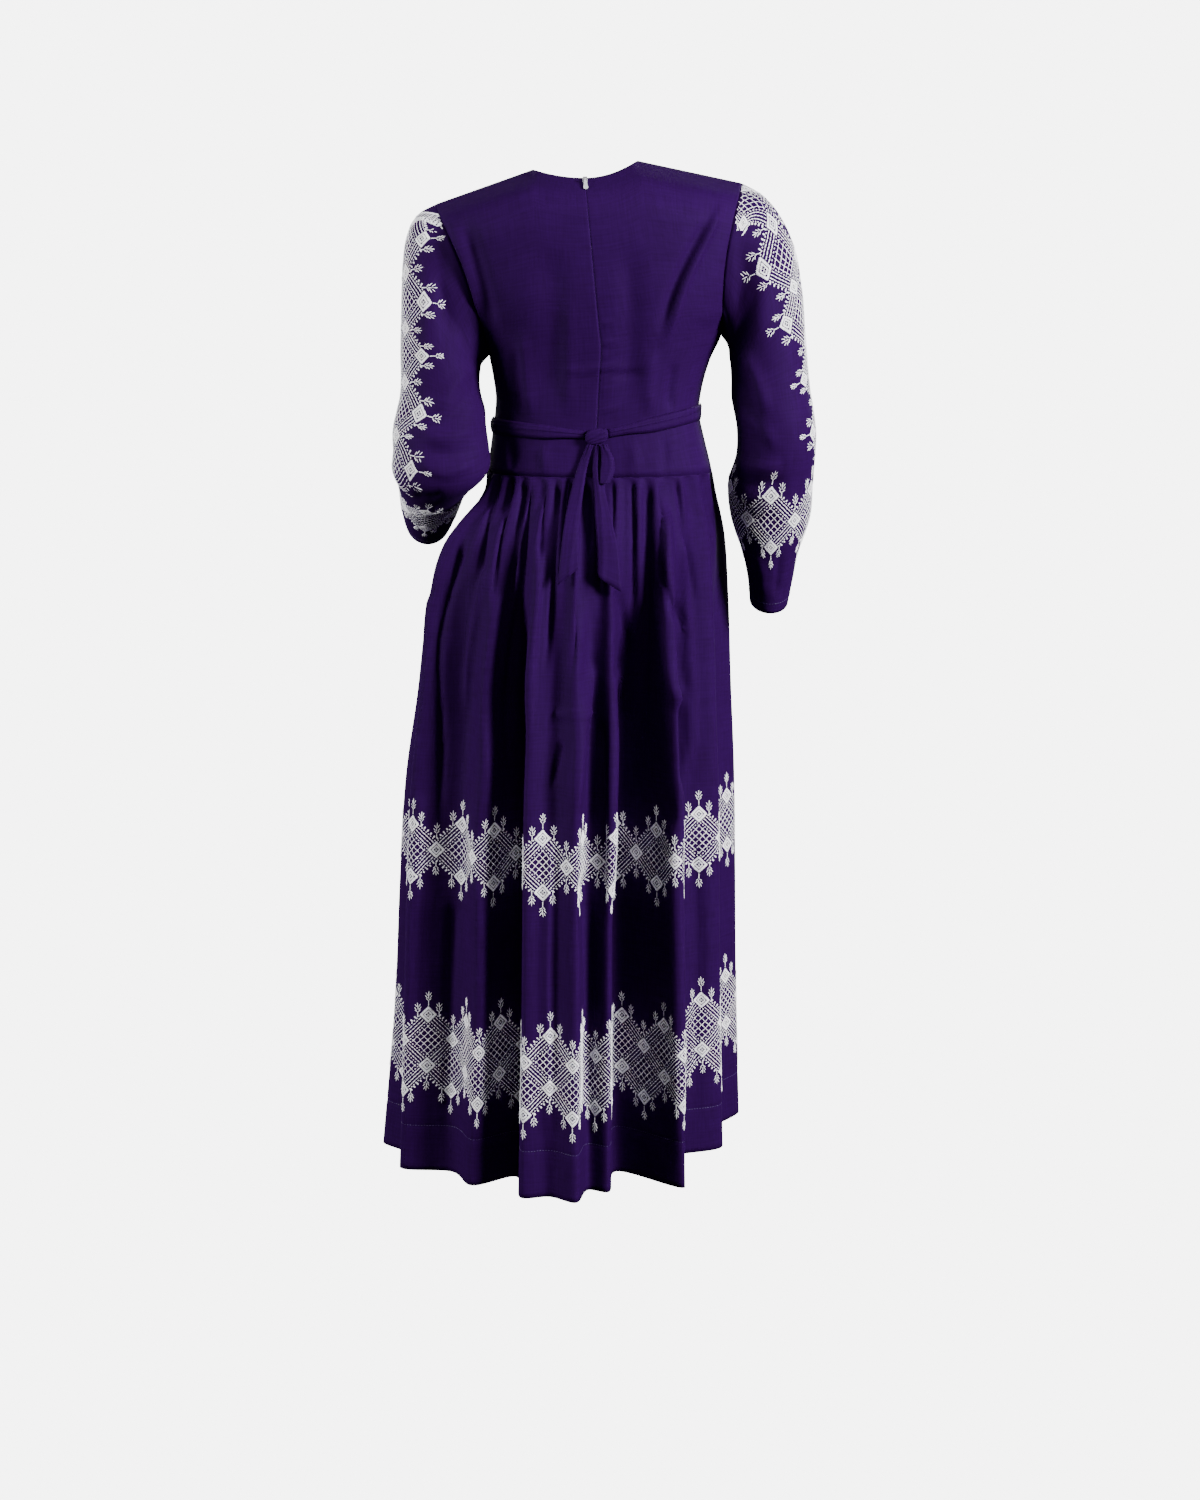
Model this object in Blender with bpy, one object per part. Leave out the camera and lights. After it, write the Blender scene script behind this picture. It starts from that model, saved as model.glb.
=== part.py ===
"""Maxi dress with long sleeves, pleated skirt and a tie at the back.

Metres, +Z up. The wearer faces +Y, so the zip and the tied bow face -Y, and +X is the
wearer's right. The origin lies in the neck opening, at the height of the shoulder seams.
Every piece of cloth is a wall lofted between an outer grid of points and the same grid moved
in by the cloth's thickness. Pieces that are sewn together share the directions along their
seam, so that their edges stay parallel, a small gap apart.
"""

import math

import bmesh
import bpy
import numpy as np
from mathutils import Matrix

# Driving dimensions
CLOTH = 0.0016
SEAM_GAP = 0.0003
PLEAT_SEAM_Z = -0.372
HEM_Z = -1.26
NAPE_Z = -0.017
FRONT_NECK_Z = -0.095
SHOULDER_ROUND = 0.06
SECTION_POWER = 2.3
COLUMNS_PER_HALF = 12
NECK_COLUMN = 4
ARMHOLE_ROWS = 10
SEGMENTS_PER_FOLD = 6
CAP_BLEND = 0.5
PLEAT_DEPTH = 0.006
PLEAT_END_Z = -0.60
TIE_WIDTH = 0.0145
TIE_THICKNESS = 0.0022
KNOT_X = -0.004
KNOT_HALF = 0.014
KNOT_HALF_HEIGHT = 0.0088
KNOT_HALF_DEPTH = 0.0058
KNOT_LIFT = 0.0070
KNOT_SQUARE = 0.45
KNOT_GROOVE = 0.10

# Body sections: height, middle, half width, back depth, front depth
BODY = [
    (PLEAT_SEAM_Z, 0.000, 0.140, 0.088, 0.096),
    (-0.345, -0.001, 0.134, 0.085, 0.093),
    (-0.316, -0.004, 0.1285, 0.083, 0.092),
    (-0.290, -0.003, 0.126, 0.086, 0.096),
    (-0.250, -0.001, 0.132, 0.093, 0.108),
    (-0.215, 0.001, 0.143, 0.101, 0.118),
    (-0.180, -0.002, 0.165, 0.108, 0.120),
    (-0.140, -0.006, 0.185, 0.112, 0.113),
    (-0.100, -0.010, 0.197, 0.112, 0.101),
    (-0.050, -0.015, 0.204, 0.108, 0.086),
    (0.010, -0.018, 0.208, 0.098, 0.074),
]
# Shoulder seam of each side: neck point x, z; shoulder tip x, z; armpit z
SHOULDERS = {
    "left": (-0.0815, -0.006, -0.200, -0.047, -0.230),
    "right": (0.0455, 0.0045, 0.172, -0.022, -0.205),
}
NECK_MIDDLE_X = -0.018
SHOULDER_Y = -0.010
# Middle line of the tie round the back: x, z
TIE_LINE = [(-0.140, -0.3125), (-0.003, -0.322), (0.130, -0.295)]
# How far each height of the skirt has spread from the waist towards the hem
SPREAD = [
    (PLEAT_SEAM_Z, 0.0),
    (-0.40, 0.12),
    (-0.43, 0.28),
    (-0.456, 0.39),
    (-0.535, 0.52),
    (-0.656, 0.63),
    (-0.761, 0.74),
    (-0.902, 0.81),
    (-1.061, 0.87),
    (HEM_Z, 1.0),
]
SKIRT_ROWS = [PLEAT_SEAM_Z, -0.388, -0.407, -0.43, -0.46, -0.51, -0.58]
SKIRT_ROWS += [-0.68, -0.79, -0.91, -1.03, -1.14, HEM_Z]
# Folds: waist angle of the ridge, its hem x and y, the depth of the valley after it, early fullness
FOLDS = [
    (-90, -0.2870, 0.010, 0.020, 0.00),
    (-66, -0.2560, -0.085, 0.026, 0.13),
    (-44, -0.1620, -0.145, 0.056, 0.04),
    (-24, -0.0980, -0.187, 0.012, 0.03),
    (-8, -0.0300, -0.203, 0.026, 0.03),
    (6, 0.0100, -0.168, 0.074, 0.05),
    (26, 0.1060, -0.153, 0.060, 0.05),
    (56, 0.1600, -0.010, 0.026, 0.00),
    (90, 0.1900, 0.130, 0.022, -0.02),
    (112, 0.1560, 0.226, 0.030, 0.00),
    (135, 0.0780, 0.246, 0.036, 0.00),
    (158, -0.0040, 0.236, 0.045, 0.00),
    (181, -0.0860, 0.250, 0.030, 0.00),
    (205, -0.1680, 0.220, 0.042, 0.00),
    (229, -0.2360, 0.160, 0.028, 0.00),
    (250, -0.2780, 0.090, 0.018, -0.04),
]
LEFT_SEAM_FOLD = 0
RIGHT_SEAM_FOLD = 8
FOLD_FULL_Z = -0.70
HEM_MIDDLE = (-0.048, 0.020)
# Room that the left forearm leaves itself beside the skirt: y, z, reach in y, reach in z, depth
ARM_ROOM = (0.035, -0.425, 0.075, 0.050, 0.024)
# Sleeve sections: middle x, y, z, half across, half deep, lean and pitch in degrees
SLEEVE_RIGHT = [
    (0.1765, -0.005, -0.1250, 0.0913, 0.0680, 77, 0),
    (0.1895, -0.008, -0.1420, 0.0856, 0.0670, 69, 0),
    (0.1985, -0.012, -0.1655, 0.0760, 0.0655, 59, 0),
    (0.2040, -0.015, -0.1965, 0.0633, 0.0630, 47, 0),
    (0.2068, -0.018, -0.2320, 0.0527, 0.0600, 31, 0),
    (0.2100, -0.020, -0.2725, 0.0487, 0.0580, 12, 0),
    (0.2175, -0.020, -0.3150, 0.0487, 0.0560, 0, 0),
    (0.2180, -0.012, -0.3510, 0.0490, 0.0560, 0, 4),
    (0.2130, 0.002, -0.3860, 0.0527, 0.0550, 0, 10),
    (0.2145, 0.018, -0.4280, 0.0500, 0.0520, 0, 16),
    (0.2157, 0.034, -0.4740, 0.0360, 0.0470, 0, 18),
    (0.2172, 0.045, -0.5100, 0.0290, 0.0420, 0, 18),
    (0.2165, 0.055, -0.5430, 0.0245, 0.0390, 0, 18),
]
SLEEVE_LEFT = [
    (-0.1843, -0.005, -0.1500, 0.0976, 0.0680, 67, 0),
    (-0.1920, -0.010, -0.1680, 0.0913, 0.0670, 61, 0),
    (-0.1948, -0.015, -0.1910, 0.0806, 0.0650, 55, 0),
    (-0.1953, -0.020, -0.2190, 0.0684, 0.0620, 46, 0),
    (-0.1948, -0.025, -0.2500, 0.0577, 0.0590, 31, 0),
    (-0.1930, -0.030, -0.2835, 0.0530, 0.0570, 12, 0),
    (-0.1970, -0.036, -0.3150, 0.0572, 0.0560, 0, 2),
    (-0.1950, -0.043, -0.3420, 0.0590, 0.0550, 0, 14),
    (-0.1960, -0.041, -0.3620, 0.0600, 0.0530, 0, 31),
    (-0.2030, -0.020, -0.3740, 0.0500, 0.0460, 0, 50),
    (-0.2095, 0.014, -0.3890, 0.0430, 0.0425, 0, 60),
    (-0.2145, 0.050, -0.4080, 0.0395, 0.0400, 0, 61),
    (-0.2190, 0.085, -0.4280, 0.0355, 0.0380, 0, 60),
    (-0.2230, 0.118, -0.4460, 0.0300, 0.0360, 0, 60),
]
# Free ends of the tie, from the knot down: x, z, half width, twist in degrees
TAIL_RIGHT = [
    (-0.0015, -0.3311, 0.0045, 20),
    (-0.0035, -0.3600, 0.0060, 15),
    (0.0000, -0.3900, 0.0070, 5),
    (0.0040, -0.4200, 0.0100, -5),
    (0.0090, -0.4550, 0.0130, -8),
    (0.0110, -0.4950, 0.0155, -5),
]
TAIL_LEFT = [
    (-0.0115, -0.3311, 0.0042, -10),
    (-0.0215, -0.3600, 0.0062, -15),
    (-0.0300, -0.4000, 0.0085, -12),
    (-0.0355, -0.4400, 0.0100, -8),
    (-0.0385, -0.4850, 0.0125, -5),
]
LOOP = [
    (0.0045, -0.3307, 0.0042, 0),
    (0.0090, -0.3480, 0.0075, 8),
    (0.0090, -0.3640, 0.0085, 5),
    (0.0060, -0.3780, 0.0060, 0),
]
TAIL_LIFT = 0.0030
LOOP_LIFT = 0.0080
TAIL_THICKNESS = 0.0018
TAIL_SLANT = 0.010
TAIL_CROWN = 0.0015
TAIL_REACH = 0.016

# Zip hardware, in its own frame: x across, y out of the cloth, z up along the cloth
SLIDER_WIDTH = 0.0056
SLIDER_LENGTH = 0.0115
SLIDER_DEPTH = 0.0022
PIN_RADIUS = 0.00045
PIN_LIFT = 0.0016
CHEEK_INNER = 0.0017
CHEEK_OUTER = 0.0025
TAB_EYE_RADIUS = 0.0012
TAB_HOLE_RADIUS = 0.0008
TAB_HALF_WIDTH = 0.0030
TAB_LENGTH = 0.0165
TAB_THICKNESS = 0.0009
SLIDER_DROP = 0.0062
PIN_Z = -0.0028
CHEEK_SINK = 0.0008
CHEEK_HALF_HEIGHT = 0.0012
TAB_TILT = 9.0
TAB_ROUNDNESS = 1.25
TAB_NECK = 0.0012
CHAIN_HALF_WIDTH = 0.0035
CHAIN_THICKNESS = 0.0016

CLOTH_COLOUR = (0.0225, 0.0075, 0.066, 1.0)
METAL_COLOUR = (0.30, 0.28, 0.30, 1.0)
COIL_COLOUR = (0.012, 0.005, 0.035, 1.0)


def smooth(table, at, column=1):
    """A smooth curve through one column of a table whose first column is the place."""
    rows = sorted(table)
    x = np.array([row[0] for row in rows], float)
    y = np.array([row[column] for row in rows], float)
    at = np.clip(np.asarray(at, float), x[0], x[-1])
    rise = np.diff(y) / np.diff(x)
    slope = np.concatenate([rise[:1], (rise[1:] + rise[:-1]) / 2, rise[-1:]])
    flat = np.concatenate([[False], rise[1:] * rise[:-1] <= 0, [False]])
    slope[flat] = 0
    i = np.clip(np.searchsorted(x, at, side="right") - 1, 0, len(x) - 2)
    step = x[i + 1] - x[i]
    t = (at - x[i]) / step
    return (
        y[i] * (1 + 2 * t) * (1 - t) ** 2
        + slope[i] * step * t * (1 - t) ** 2
        + y[i + 1] * t * t * (3 - 2 * t)
        + slope[i + 1] * step * t * t * (t - 1)
    )


def ease(t):
    t = np.clip(t, 0, 1)
    return t * t * (3 - 2 * t)


def shoulder(x):
    """Height of the shoulder line over x, closed over the neck."""
    left, right = SHOULDERS["left"], SHOULDERS["right"]
    return np.interp(x, [left[2], left[0], right[0], right[2]], [left[3], left[1], right[1], right[3]])


def armpit(x):
    """Height of the armpit level over x: the left shoulder hangs lower."""
    return np.interp(x, [-0.14, 0.145], [SHOULDERS["left"][4], SHOULDERS["right"][4]])


def body_depth(x, z, front):
    """Distance in y of the bodice from its middle plane."""
    away = np.clip(np.abs(x - smooth(BODY, z, 1)) / smooth(BODY, z, 2), 0, 1)
    section = (1 - away**SECTION_POWER) ** (1 / SECTION_POWER)
    near_top = np.clip((shoulder(x) - z) / SHOULDER_ROUND, 0, 1)
    over_shoulder = np.sqrt(1 - (1 - near_top) ** 2)
    return smooth(BODY, z, 4 if front else 3) * section * over_shoulder


def middle_y(z):
    return SHOULDER_Y * ease((z + 0.22) / 0.2)


def bodice_rows(front):
    """Each row of the bodice as a function of x that gives its height."""

    def tie(x, side):
        line = TIE_LINE if not front else [TIE_LINE[0], TIE_LINE[2]]
        return np.interp(x, [p[0] for p in line], [p[1] for p in line]) + side * TIE_WIDTH / 2

    rows = [lambda x: np.full_like(x, PLEAT_SEAM_Z + SEAM_GAP / 2)]
    rows.append(lambda x: tie(x, -1))
    rows.append(lambda x: tie(x, 1))
    for part in (0.33, 0.67, 1.0):
        rows.append(lambda x, part=part: tie(x, 1) * (1 - part) + armpit(x) * part)
    return rows


def bodice_grid(front, first, last):
    """Points of the bodice between two columns, counted from the centre line, -X first."""
    columns = np.arange(first, last + 1)
    side = np.sign(columns)
    part = np.abs(columns) / COLUMNS_PER_HALF
    low = np.sin(part * math.pi / 2) ** (2 / SECTION_POWER)
    neck_part = NECK_COLUMN / COLUMNS_PER_HALF
    tips = np.where(side < 0, SHOULDERS["left"][2], SHOULDERS["right"][2])
    necks = np.where(side < 0, SHOULDERS["left"][0], SHOULDERS["right"][0])
    tip_half = np.abs(tips - NECK_MIDDLE_X)
    neck_half = np.abs(necks - NECK_MIDDLE_X)
    over_neck = neck_half * part / neck_part
    over_shoulder = neck_half + (tip_half - neck_half) * (part - neck_part) / (1 - neck_part)
    top_half = np.where(part < neck_part, over_neck, over_shoulder)
    grid = []
    for height in bodice_rows(front):
        x = np.zeros(len(columns))
        for _ in range(6):
            z = height(x)
            x = smooth(BODY, z, 1) + side * low * smooth(BODY, z, 2)
        z = height(x)
        y = middle_y(z) + (1 if front else -1) * body_depth(x, z, front)
        grid.append(np.stack([x, y, z], 1))
    base = grid[-1]
    top_x = NECK_MIDDLE_X + side * top_half
    neck_z = FRONT_NECK_Z if front else NAPE_Z
    into_neck = (np.clip(part / neck_part, 0, 1)) ** (2.6 if front else 2.0)
    top_z = np.where(part < neck_part, neck_z + (shoulder(necks) - neck_z) * into_neck, shoulder(top_x))
    for row in range(1, ARMHOLE_ROWS + 1):
        up = (row / ARMHOLE_ROWS) ** 0.9 if row < ARMHOLE_ROWS else 1.0
        z = base[:, 2] + (top_z - base[:, 2]) * up
        hollow = 0.010 * np.sin(up * math.pi) * part
        x = base[:, 0] + (top_x - base[:, 0]) * up - side * hollow
        y = middle_y(z) + (1 if front else -1) * body_depth(x, z, front)
        grid.append(np.stack([x, y, z], 1))
    return np.array(grid)


def waist_point(degrees):
    """Plan of the waist seam at an angle from centre back, positive towards +X."""
    angle = np.radians(degrees)
    _, middle, half, back, front = BODY[0]
    power = 2 / SECTION_POWER
    depth = np.where(np.cos(angle) > 0, back, front)
    x = middle + half * np.sign(np.sin(angle)) * np.abs(np.sin(angle)) ** power
    y = -depth * np.sign(np.cos(angle)) * np.abs(np.cos(angle)) ** power
    return np.stack([x, y], -1)


def fold_controls(z):
    """Ridges and valleys of the skirt in turn, as points of a closed plan at height z."""
    spread = float(smooth(SPREAD, z))
    growth = float(ease((PLEAT_SEAM_Z - z) / (PLEAT_SEAM_Z - FOLD_FULL_Z)))
    count = len(FOLDS)
    middle = np.array(HEM_MIDDLE) * spread
    points = []
    for i, fold in enumerate(FOLDS):
        after = FOLDS[(i + 1) % count]
        after_angle = after[0] + (360 if i == count - 1 else 0)

        def ridge(row):
            share = spread + row[4] * 4 * spread * (1 - spread)
            return waist_point(row[0]) * (1 - share) + np.array([row[1], row[2]]) * share

        here, there = ridge(fold), ridge(after)
        arc = waist_point((fold[0] + after_angle) / 2)
        chord = (waist_point(fold[0]) + waist_point(after_angle)) / 2
        between = (here + there) / 2 + (arc - chord) * (1 - spread)
        inward = middle - between
        inward = inward / np.linalg.norm(inward)
        points.append(here)
        points.append(between + inward * fold[3] * growth)
    return np.array(points)


def skirt_ring(z, fold_places):
    """Plan points at height z. A place counts ridges: 0 is the first, 0.5 the valley after it."""
    controls = fold_controls(z)
    count = len(controls)
    place = np.asarray(fold_places, float) * 2
    i = np.floor(place).astype(int)
    t = (place - i)[:, None]
    p0, p1, p2, p3 = (controls[(i + k) % count] for k in (-1, 0, 1, 2))
    d01, d12, d23 = (
        np.sqrt(np.linalg.norm(b - a, axis=1))[:, None] for a, b in ((p0, p1), (p1, p2), (p2, p3))
    )
    m1 = ((p1 - p0) / d01 - (p2 - p0) / (d01 + d12) + (p2 - p1) / d12) * d12
    m2 = ((p2 - p1) / d12 - (p3 - p1) / (d12 + d23) + (p3 - p2) / d23) * d12
    ring = (
        p1 * (1 + 2 * t) * (1 - t) ** 2
        + m1 * t * (1 - t) ** 2
        + p2 * t * t * (3 - 2 * t)
        + m2 * t * t * (t - 1)
    )
    down = (PLEAT_SEAM_Z - z) / (PLEAT_SEAM_Z - PLEAT_END_Z)
    strength = PLEAT_DEPTH * float(np.sin(math.pi * np.clip(down, 0, 1) ** 0.45))
    trough = strength * (0.5 - 0.5 * np.cos(2 * math.pi * place))
    middle = np.array(HEM_MIDDLE) * float(smooth(SPREAD, z))
    inward = middle - ring
    ring = ring + inward / np.linalg.norm(inward, axis=1)[:, None] * trough[:, None]
    arm_y, arm_z, reach_y, reach_z, depth = ARM_ROOM
    near = np.exp(-(((ring[:, 1] - arm_y) / reach_y) ** 2) - ((z - arm_z) / reach_z) ** 2)
    start = float(ease((PLEAT_SEAM_Z - z) / 0.02))
    ring[:, 0] += np.where(ring[:, 0] < -0.06, depth * near * start, 0)
    return ring


def skirt_grid(first_fold, last_fold):
    places = np.linspace(first_fold, last_fold, (last_fold - first_fold) * SEGMENTS_PER_FOLD + 1)
    grid = []
    for z in SKIRT_ROWS:
        ring = skirt_ring(z, places)
        height = z - SEAM_GAP / 2 if z == PLEAT_SEAM_Z else z
        grid.append(np.column_stack([ring, np.full(len(ring), height)]))
    return np.array(grid)


def sleeve_grid(armhole, sections, outward):
    """Rings of a sleeve: the armhole, then one ring a section. Columns start at the shoulder tip."""
    angles = np.linspace(0, 2 * math.pi, len(armhole), endpoint=False)
    rings = [armhole]
    for number, (x, y, z, across, deep, lean, pitch) in enumerate(sections):
        lean, pitch = math.radians(lean), math.radians(pitch)
        along = np.array([outward * math.cos(lean), 0, math.sin(lean)])
        front = np.array([0, math.cos(pitch), math.sin(pitch)])
        ring = np.array([x, y, z]) + across * np.cos(angles)[:, None] * along
        ring -= deep * np.sin(angles)[:, None] * front
        like_armhole = CAP_BLEND ** (number + 1)
        ring[:, 1] += (armhole[:, 1] - ring[:, 1]) * like_armhole
        rings.append(ring)
    return np.array(rings)


def grid_normals(grid, closed, inside):
    """Unit directions out of the surface, away from the line of inside points, one a row."""
    if closed:
        across = np.roll(grid, -1, axis=1) - np.roll(grid, 1, axis=1)
    else:
        across = np.gradient(grid, axis=1)
    down = np.gradient(grid, axis=0)
    normals = np.cross(across, down)
    if np.sum(normals * (grid - inside[:, None, :])) < 0:
        normals = -normals
    return normals / np.maximum(np.linalg.norm(normals, axis=2, keepdims=True), 1e-12)


def share_seams(pieces):
    """Gives points that pieces have in common one direction, the mean of theirs."""
    sums = {}
    for piece in pieces:
        keys = np.round(piece["grid"].reshape(-1, 3) * 2e4).astype(int)
        for key, normal in zip(map(tuple, keys), piece["normals"].reshape(-1, 3)):
            sums[key] = sums.get(key, 0) + normal
        piece["keys"] = keys
    for piece in pieces:
        shared = np.array([sums[tuple(key)] for key in piece["keys"]])
        shared /= np.linalg.norm(shared, axis=1)[:, None]
        piece["normals"] = shared.reshape(piece["grid"].shape)


def level(normals):
    """Turns one row of directions into the horizontal plane."""
    flat = normals * np.array([1, 1, 0])
    return flat / np.linalg.norm(flat, axis=1)[:, None]


def square_step(edge, beside):
    """Half the seam gap, into the cloth and square to its edge."""
    along = np.gradient(edge, axis=0)
    along = along / np.linalg.norm(along, axis=1)[:, None]
    step = beside - edge
    step = step - along * np.sum(step * along, axis=1)[:, None]
    return step / np.linalg.norm(step, axis=1)[:, None] * SEAM_GAP / 2


def pull_back(grid, edges):
    """Draws the named edges of a grid in by half the seam gap."""
    moved = grid.copy()
    for edge in edges:
        axis, index, beside = {
            "first_row": (0, 0, 1),
            "last_row": (0, -1, -2),
            "first_column": (1, 0, 1),
            "last_column": (1, -1, -2),
        }[edge]
        here = np.take(moved, index, axis)
        step = square_step(here, np.take(moved, beside, axis))
        if axis == 0:
            moved[index] = here + step
        else:
            moved[:, index] = here + step
    return moved


def finish_object(name, mesh, material, parts):
    made = bpy.data.objects.new(name, mesh)
    mesh.materials.append(material)
    parts.objects.link(made)
    mesh.shade_smooth()
    mesh.set_sharp_from_angle(angle=math.radians(50))
    return made


def rim_face(mesh_builder, a, b, c, d):
    """A rim is split along its shorter diagonal, so that both sides of a seam are split alike."""
    if (a.co - c.co).length < (b.co - d.co).length:
        mesh_builder.faces.new((a, b, c))
        mesh_builder.faces.new((a, c, d))
    else:
        mesh_builder.faces.new((a, b, d))
        mesh_builder.faces.new((b, c, d))


def cloth_wall(name, outer, inner, material, parts, closed=False):
    """A wall between two grids of points, closed all round along its edges."""
    rows, columns = outer.shape[:2]
    mesh_builder = bmesh.new()
    skins = [
        [[mesh_builder.verts.new(point) for point in row] for row in grid] for grid in (outer, inner)
    ]
    spans = columns if closed else columns - 1
    for skin in skins:
        for i in range(rows - 1):
            for j in range(spans):
                k = (j + 1) % columns
                a, b, c, d = skin[i][j], skin[i][k], skin[i + 1][k], skin[i + 1][j]
                mesh_builder.faces.new((a, b, c))
                mesh_builder.faces.new((a, c, d))
    out, back = skins
    for i in (0, rows - 1):
        for j in range(spans):
            k = (j + 1) % columns
            rim_face(mesh_builder, out[i][j], out[i][k], back[i][k], back[i][j])
    if not closed:
        for j in (0, columns - 1):
            for i in range(rows - 1):
                rim_face(mesh_builder, out[i][j], out[i + 1][j], back[i + 1][j], back[i][j])
    bmesh.ops.recalc_face_normals(mesh_builder, faces=mesh_builder.faces)
    mesh = bpy.data.meshes.new(name)
    mesh_builder.to_mesh(mesh)
    mesh_builder.free()
    return finish_object(name, mesh, material, parts)


def make_material(name, colour, roughness, metallic=0.0):
    material = bpy.data.materials.new(name)
    material.use_nodes = True
    shader = material.node_tree.nodes["Principled BSDF"]
    shader.inputs["Base Color"].default_value = colour
    shader.inputs["Roughness"].default_value = roughness
    shader.inputs["Metallic"].default_value = metallic
    return material


def garment_pieces():
    """Grids and directions of the panels and sleeves, with their seams shared."""
    columns = COLUMNS_PER_HALF
    back_left = bodice_grid(False, -columns, 0)
    back_right = bodice_grid(False, 0, columns)
    front = bodice_grid(True, -columns, columns)
    first = ARMHOLE_ROWS
    armhole_right = np.concatenate([back_right[: -first - 1 : -1, -1], front[-first - 1 : -1, -1]])
    armhole_left = np.concatenate([back_left[: -first - 1 : -1, 0], front[-first - 1 : -1, 0]])
    pieces = {
        "bodice_front": (front, False, ["first_column", "last_column"]),
        "bodice_back_left": (back_left, False, ["first_column", "last_column"]),
        "bodice_back_right": (back_right, False, ["first_column", "last_column"]),
        "sleeve_right": (sleeve_grid(armhole_right, SLEEVE_RIGHT, 1), True, ["first_row"]),
        "sleeve_left": (sleeve_grid(armhole_left, SLEEVE_LEFT, -1), True, ["first_row"]),
        "skirt_back": (skirt_grid(LEFT_SEAM_FOLD, RIGHT_SEAM_FOLD), False, ["first_column", "last_column"]),
        "skirt_front": (skirt_grid(RIGHT_SEAM_FOLD, len(FOLDS)), False, ["first_column", "last_column"]),
    }
    made = {}
    for name, (grid, closed, edges) in pieces.items():
        inside = grid.mean(axis=1)
        if not closed:
            inside[:, 1] = 0.0
        made[name] = {"grid": grid, "closed": closed, "edges": edges}
        made[name]["normals"] = grid_normals(grid, closed, inside)
    share_seams(list(made.values()))
    for name, piece in made.items():
        if name.startswith("bodice"):
            piece["normals"][0] = level(piece["normals"][0])
            piece["grid"] = pull_shoulder(piece["grid"], name)
        if name.startswith("skirt"):
            piece["normals"][0] = level(piece["normals"][0])
            piece["normals"][-1] = level(piece["normals"][-1])
        piece["grid"] = pull_back(piece["grid"], piece["edges"])
        piece["inner"] = piece["grid"] - piece["normals"] * CLOTH
    return made


def pull_shoulder(grid, name):
    """Draws the top row in by half the seam gap where it is a shoulder seam."""
    moved = grid.copy()
    step = square_step(grid[-1], grid[-2])
    centre = 0 if name == "bodice_back_right" else COLUMNS_PER_HALF
    for column in range(grid.shape[1]):
        if abs(column - centre) >= NECK_COLUMN:
            moved[-1, column] += step[column]
    return moved


def back_surface(x, z):
    """Nearest y to the viewer of the cloth behind a hanging ribbon, bodice or skirt."""
    if z > PLEAT_SEAM_Z - 0.004:
        tie = np.interp(x, [p[0] for p in TIE_LINE], [p[1] for p in TIE_LINE])
        over_tie = TIE_THICKNESS + SEAM_GAP if abs(z - tie) < TIE_WIDTH else 0.0
        return float(middle_y(z) - body_depth(x, max(z, PLEAT_SEAM_Z), False)) - over_tie
    ring = skirt_ring(z, np.linspace(1, 8, 281))
    near = np.abs(ring[:, 0] - x) < TAIL_REACH
    return float(ring[near, 1].min())


def ribbon(name, path, lift, slant, material, parts):
    """A flat strip that hangs from the knot, a little off the cloth."""
    outer, inner = [], []
    lowest = len(path) - 1
    for i, (x, z, half, twist) in enumerate(path):
        y = min(back_surface(x + side * half, z) for side in (-1, 0, 1)) - lift
        turn = math.radians(twist)
        left = np.array([x - half * math.cos(turn), y - half * abs(math.sin(turn)), z])
        right = np.array([x + half * math.cos(turn), y, z])
        if twist < 0:
            left[1], right[1] = right[1], left[1]
        if i == lowest:
            left[2] += slant
            right[2] -= slant
        middle = (left + right) / 2 - np.array([0, TAIL_CROWN, 0])
        row = np.array([left, middle, right])
        outer.append(row - np.array([0, TAIL_THICKNESS, 0]))
        inner.append(row)
    return cloth_wall(name, np.array(outer), np.array(inner), material, parts)


def tie_pieces(panels, material, parts):
    """The two ties lie on the back panels: their points, moved out."""
    for name, panel_name in (("tie_left", "bodice_back_left"), ("tie_right", "bodice_back_right")):
        panel = panels[panel_name]
        grid, normals = panel["grid"][1:3], panel["normals"][1:3]
        from_knot = grid[0, :, 0] - KNOT_X
        if name == "tie_left":
            columns = np.flatnonzero(from_knot < -KNOT_HALF)
            edge = columns[-1] + 1
            target = KNOT_X - KNOT_HALF - SEAM_GAP
            order = list(columns) + [edge]
        else:
            columns = np.flatnonzero(from_knot > KNOT_HALF)
            edge = columns[0] - 1
            target = KNOT_X + KNOT_HALF + SEAM_GAP
            order = [edge] + list(columns)
        grid, normals = grid[:, order].copy(), normals[:, order].copy()
        end = -1 if name == "tie_left" else 0
        beside = -2 if name == "tie_left" else 1
        for row in range(2):
            share = (target - grid[row, beside, 0]) / (grid[row, end, 0] - grid[row, beside, 0])
            grid[row, end] = grid[row, beside] + (grid[row, end] - grid[row, beside]) * share
            normals[row, end] = normals[row, beside] + (normals[row, end] - normals[row, beside]) * share
        base = grid + normals * SEAM_GAP
        cloth_wall(name, grid + normals * (SEAM_GAP + TIE_THICKNESS), base, material, parts)


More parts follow.
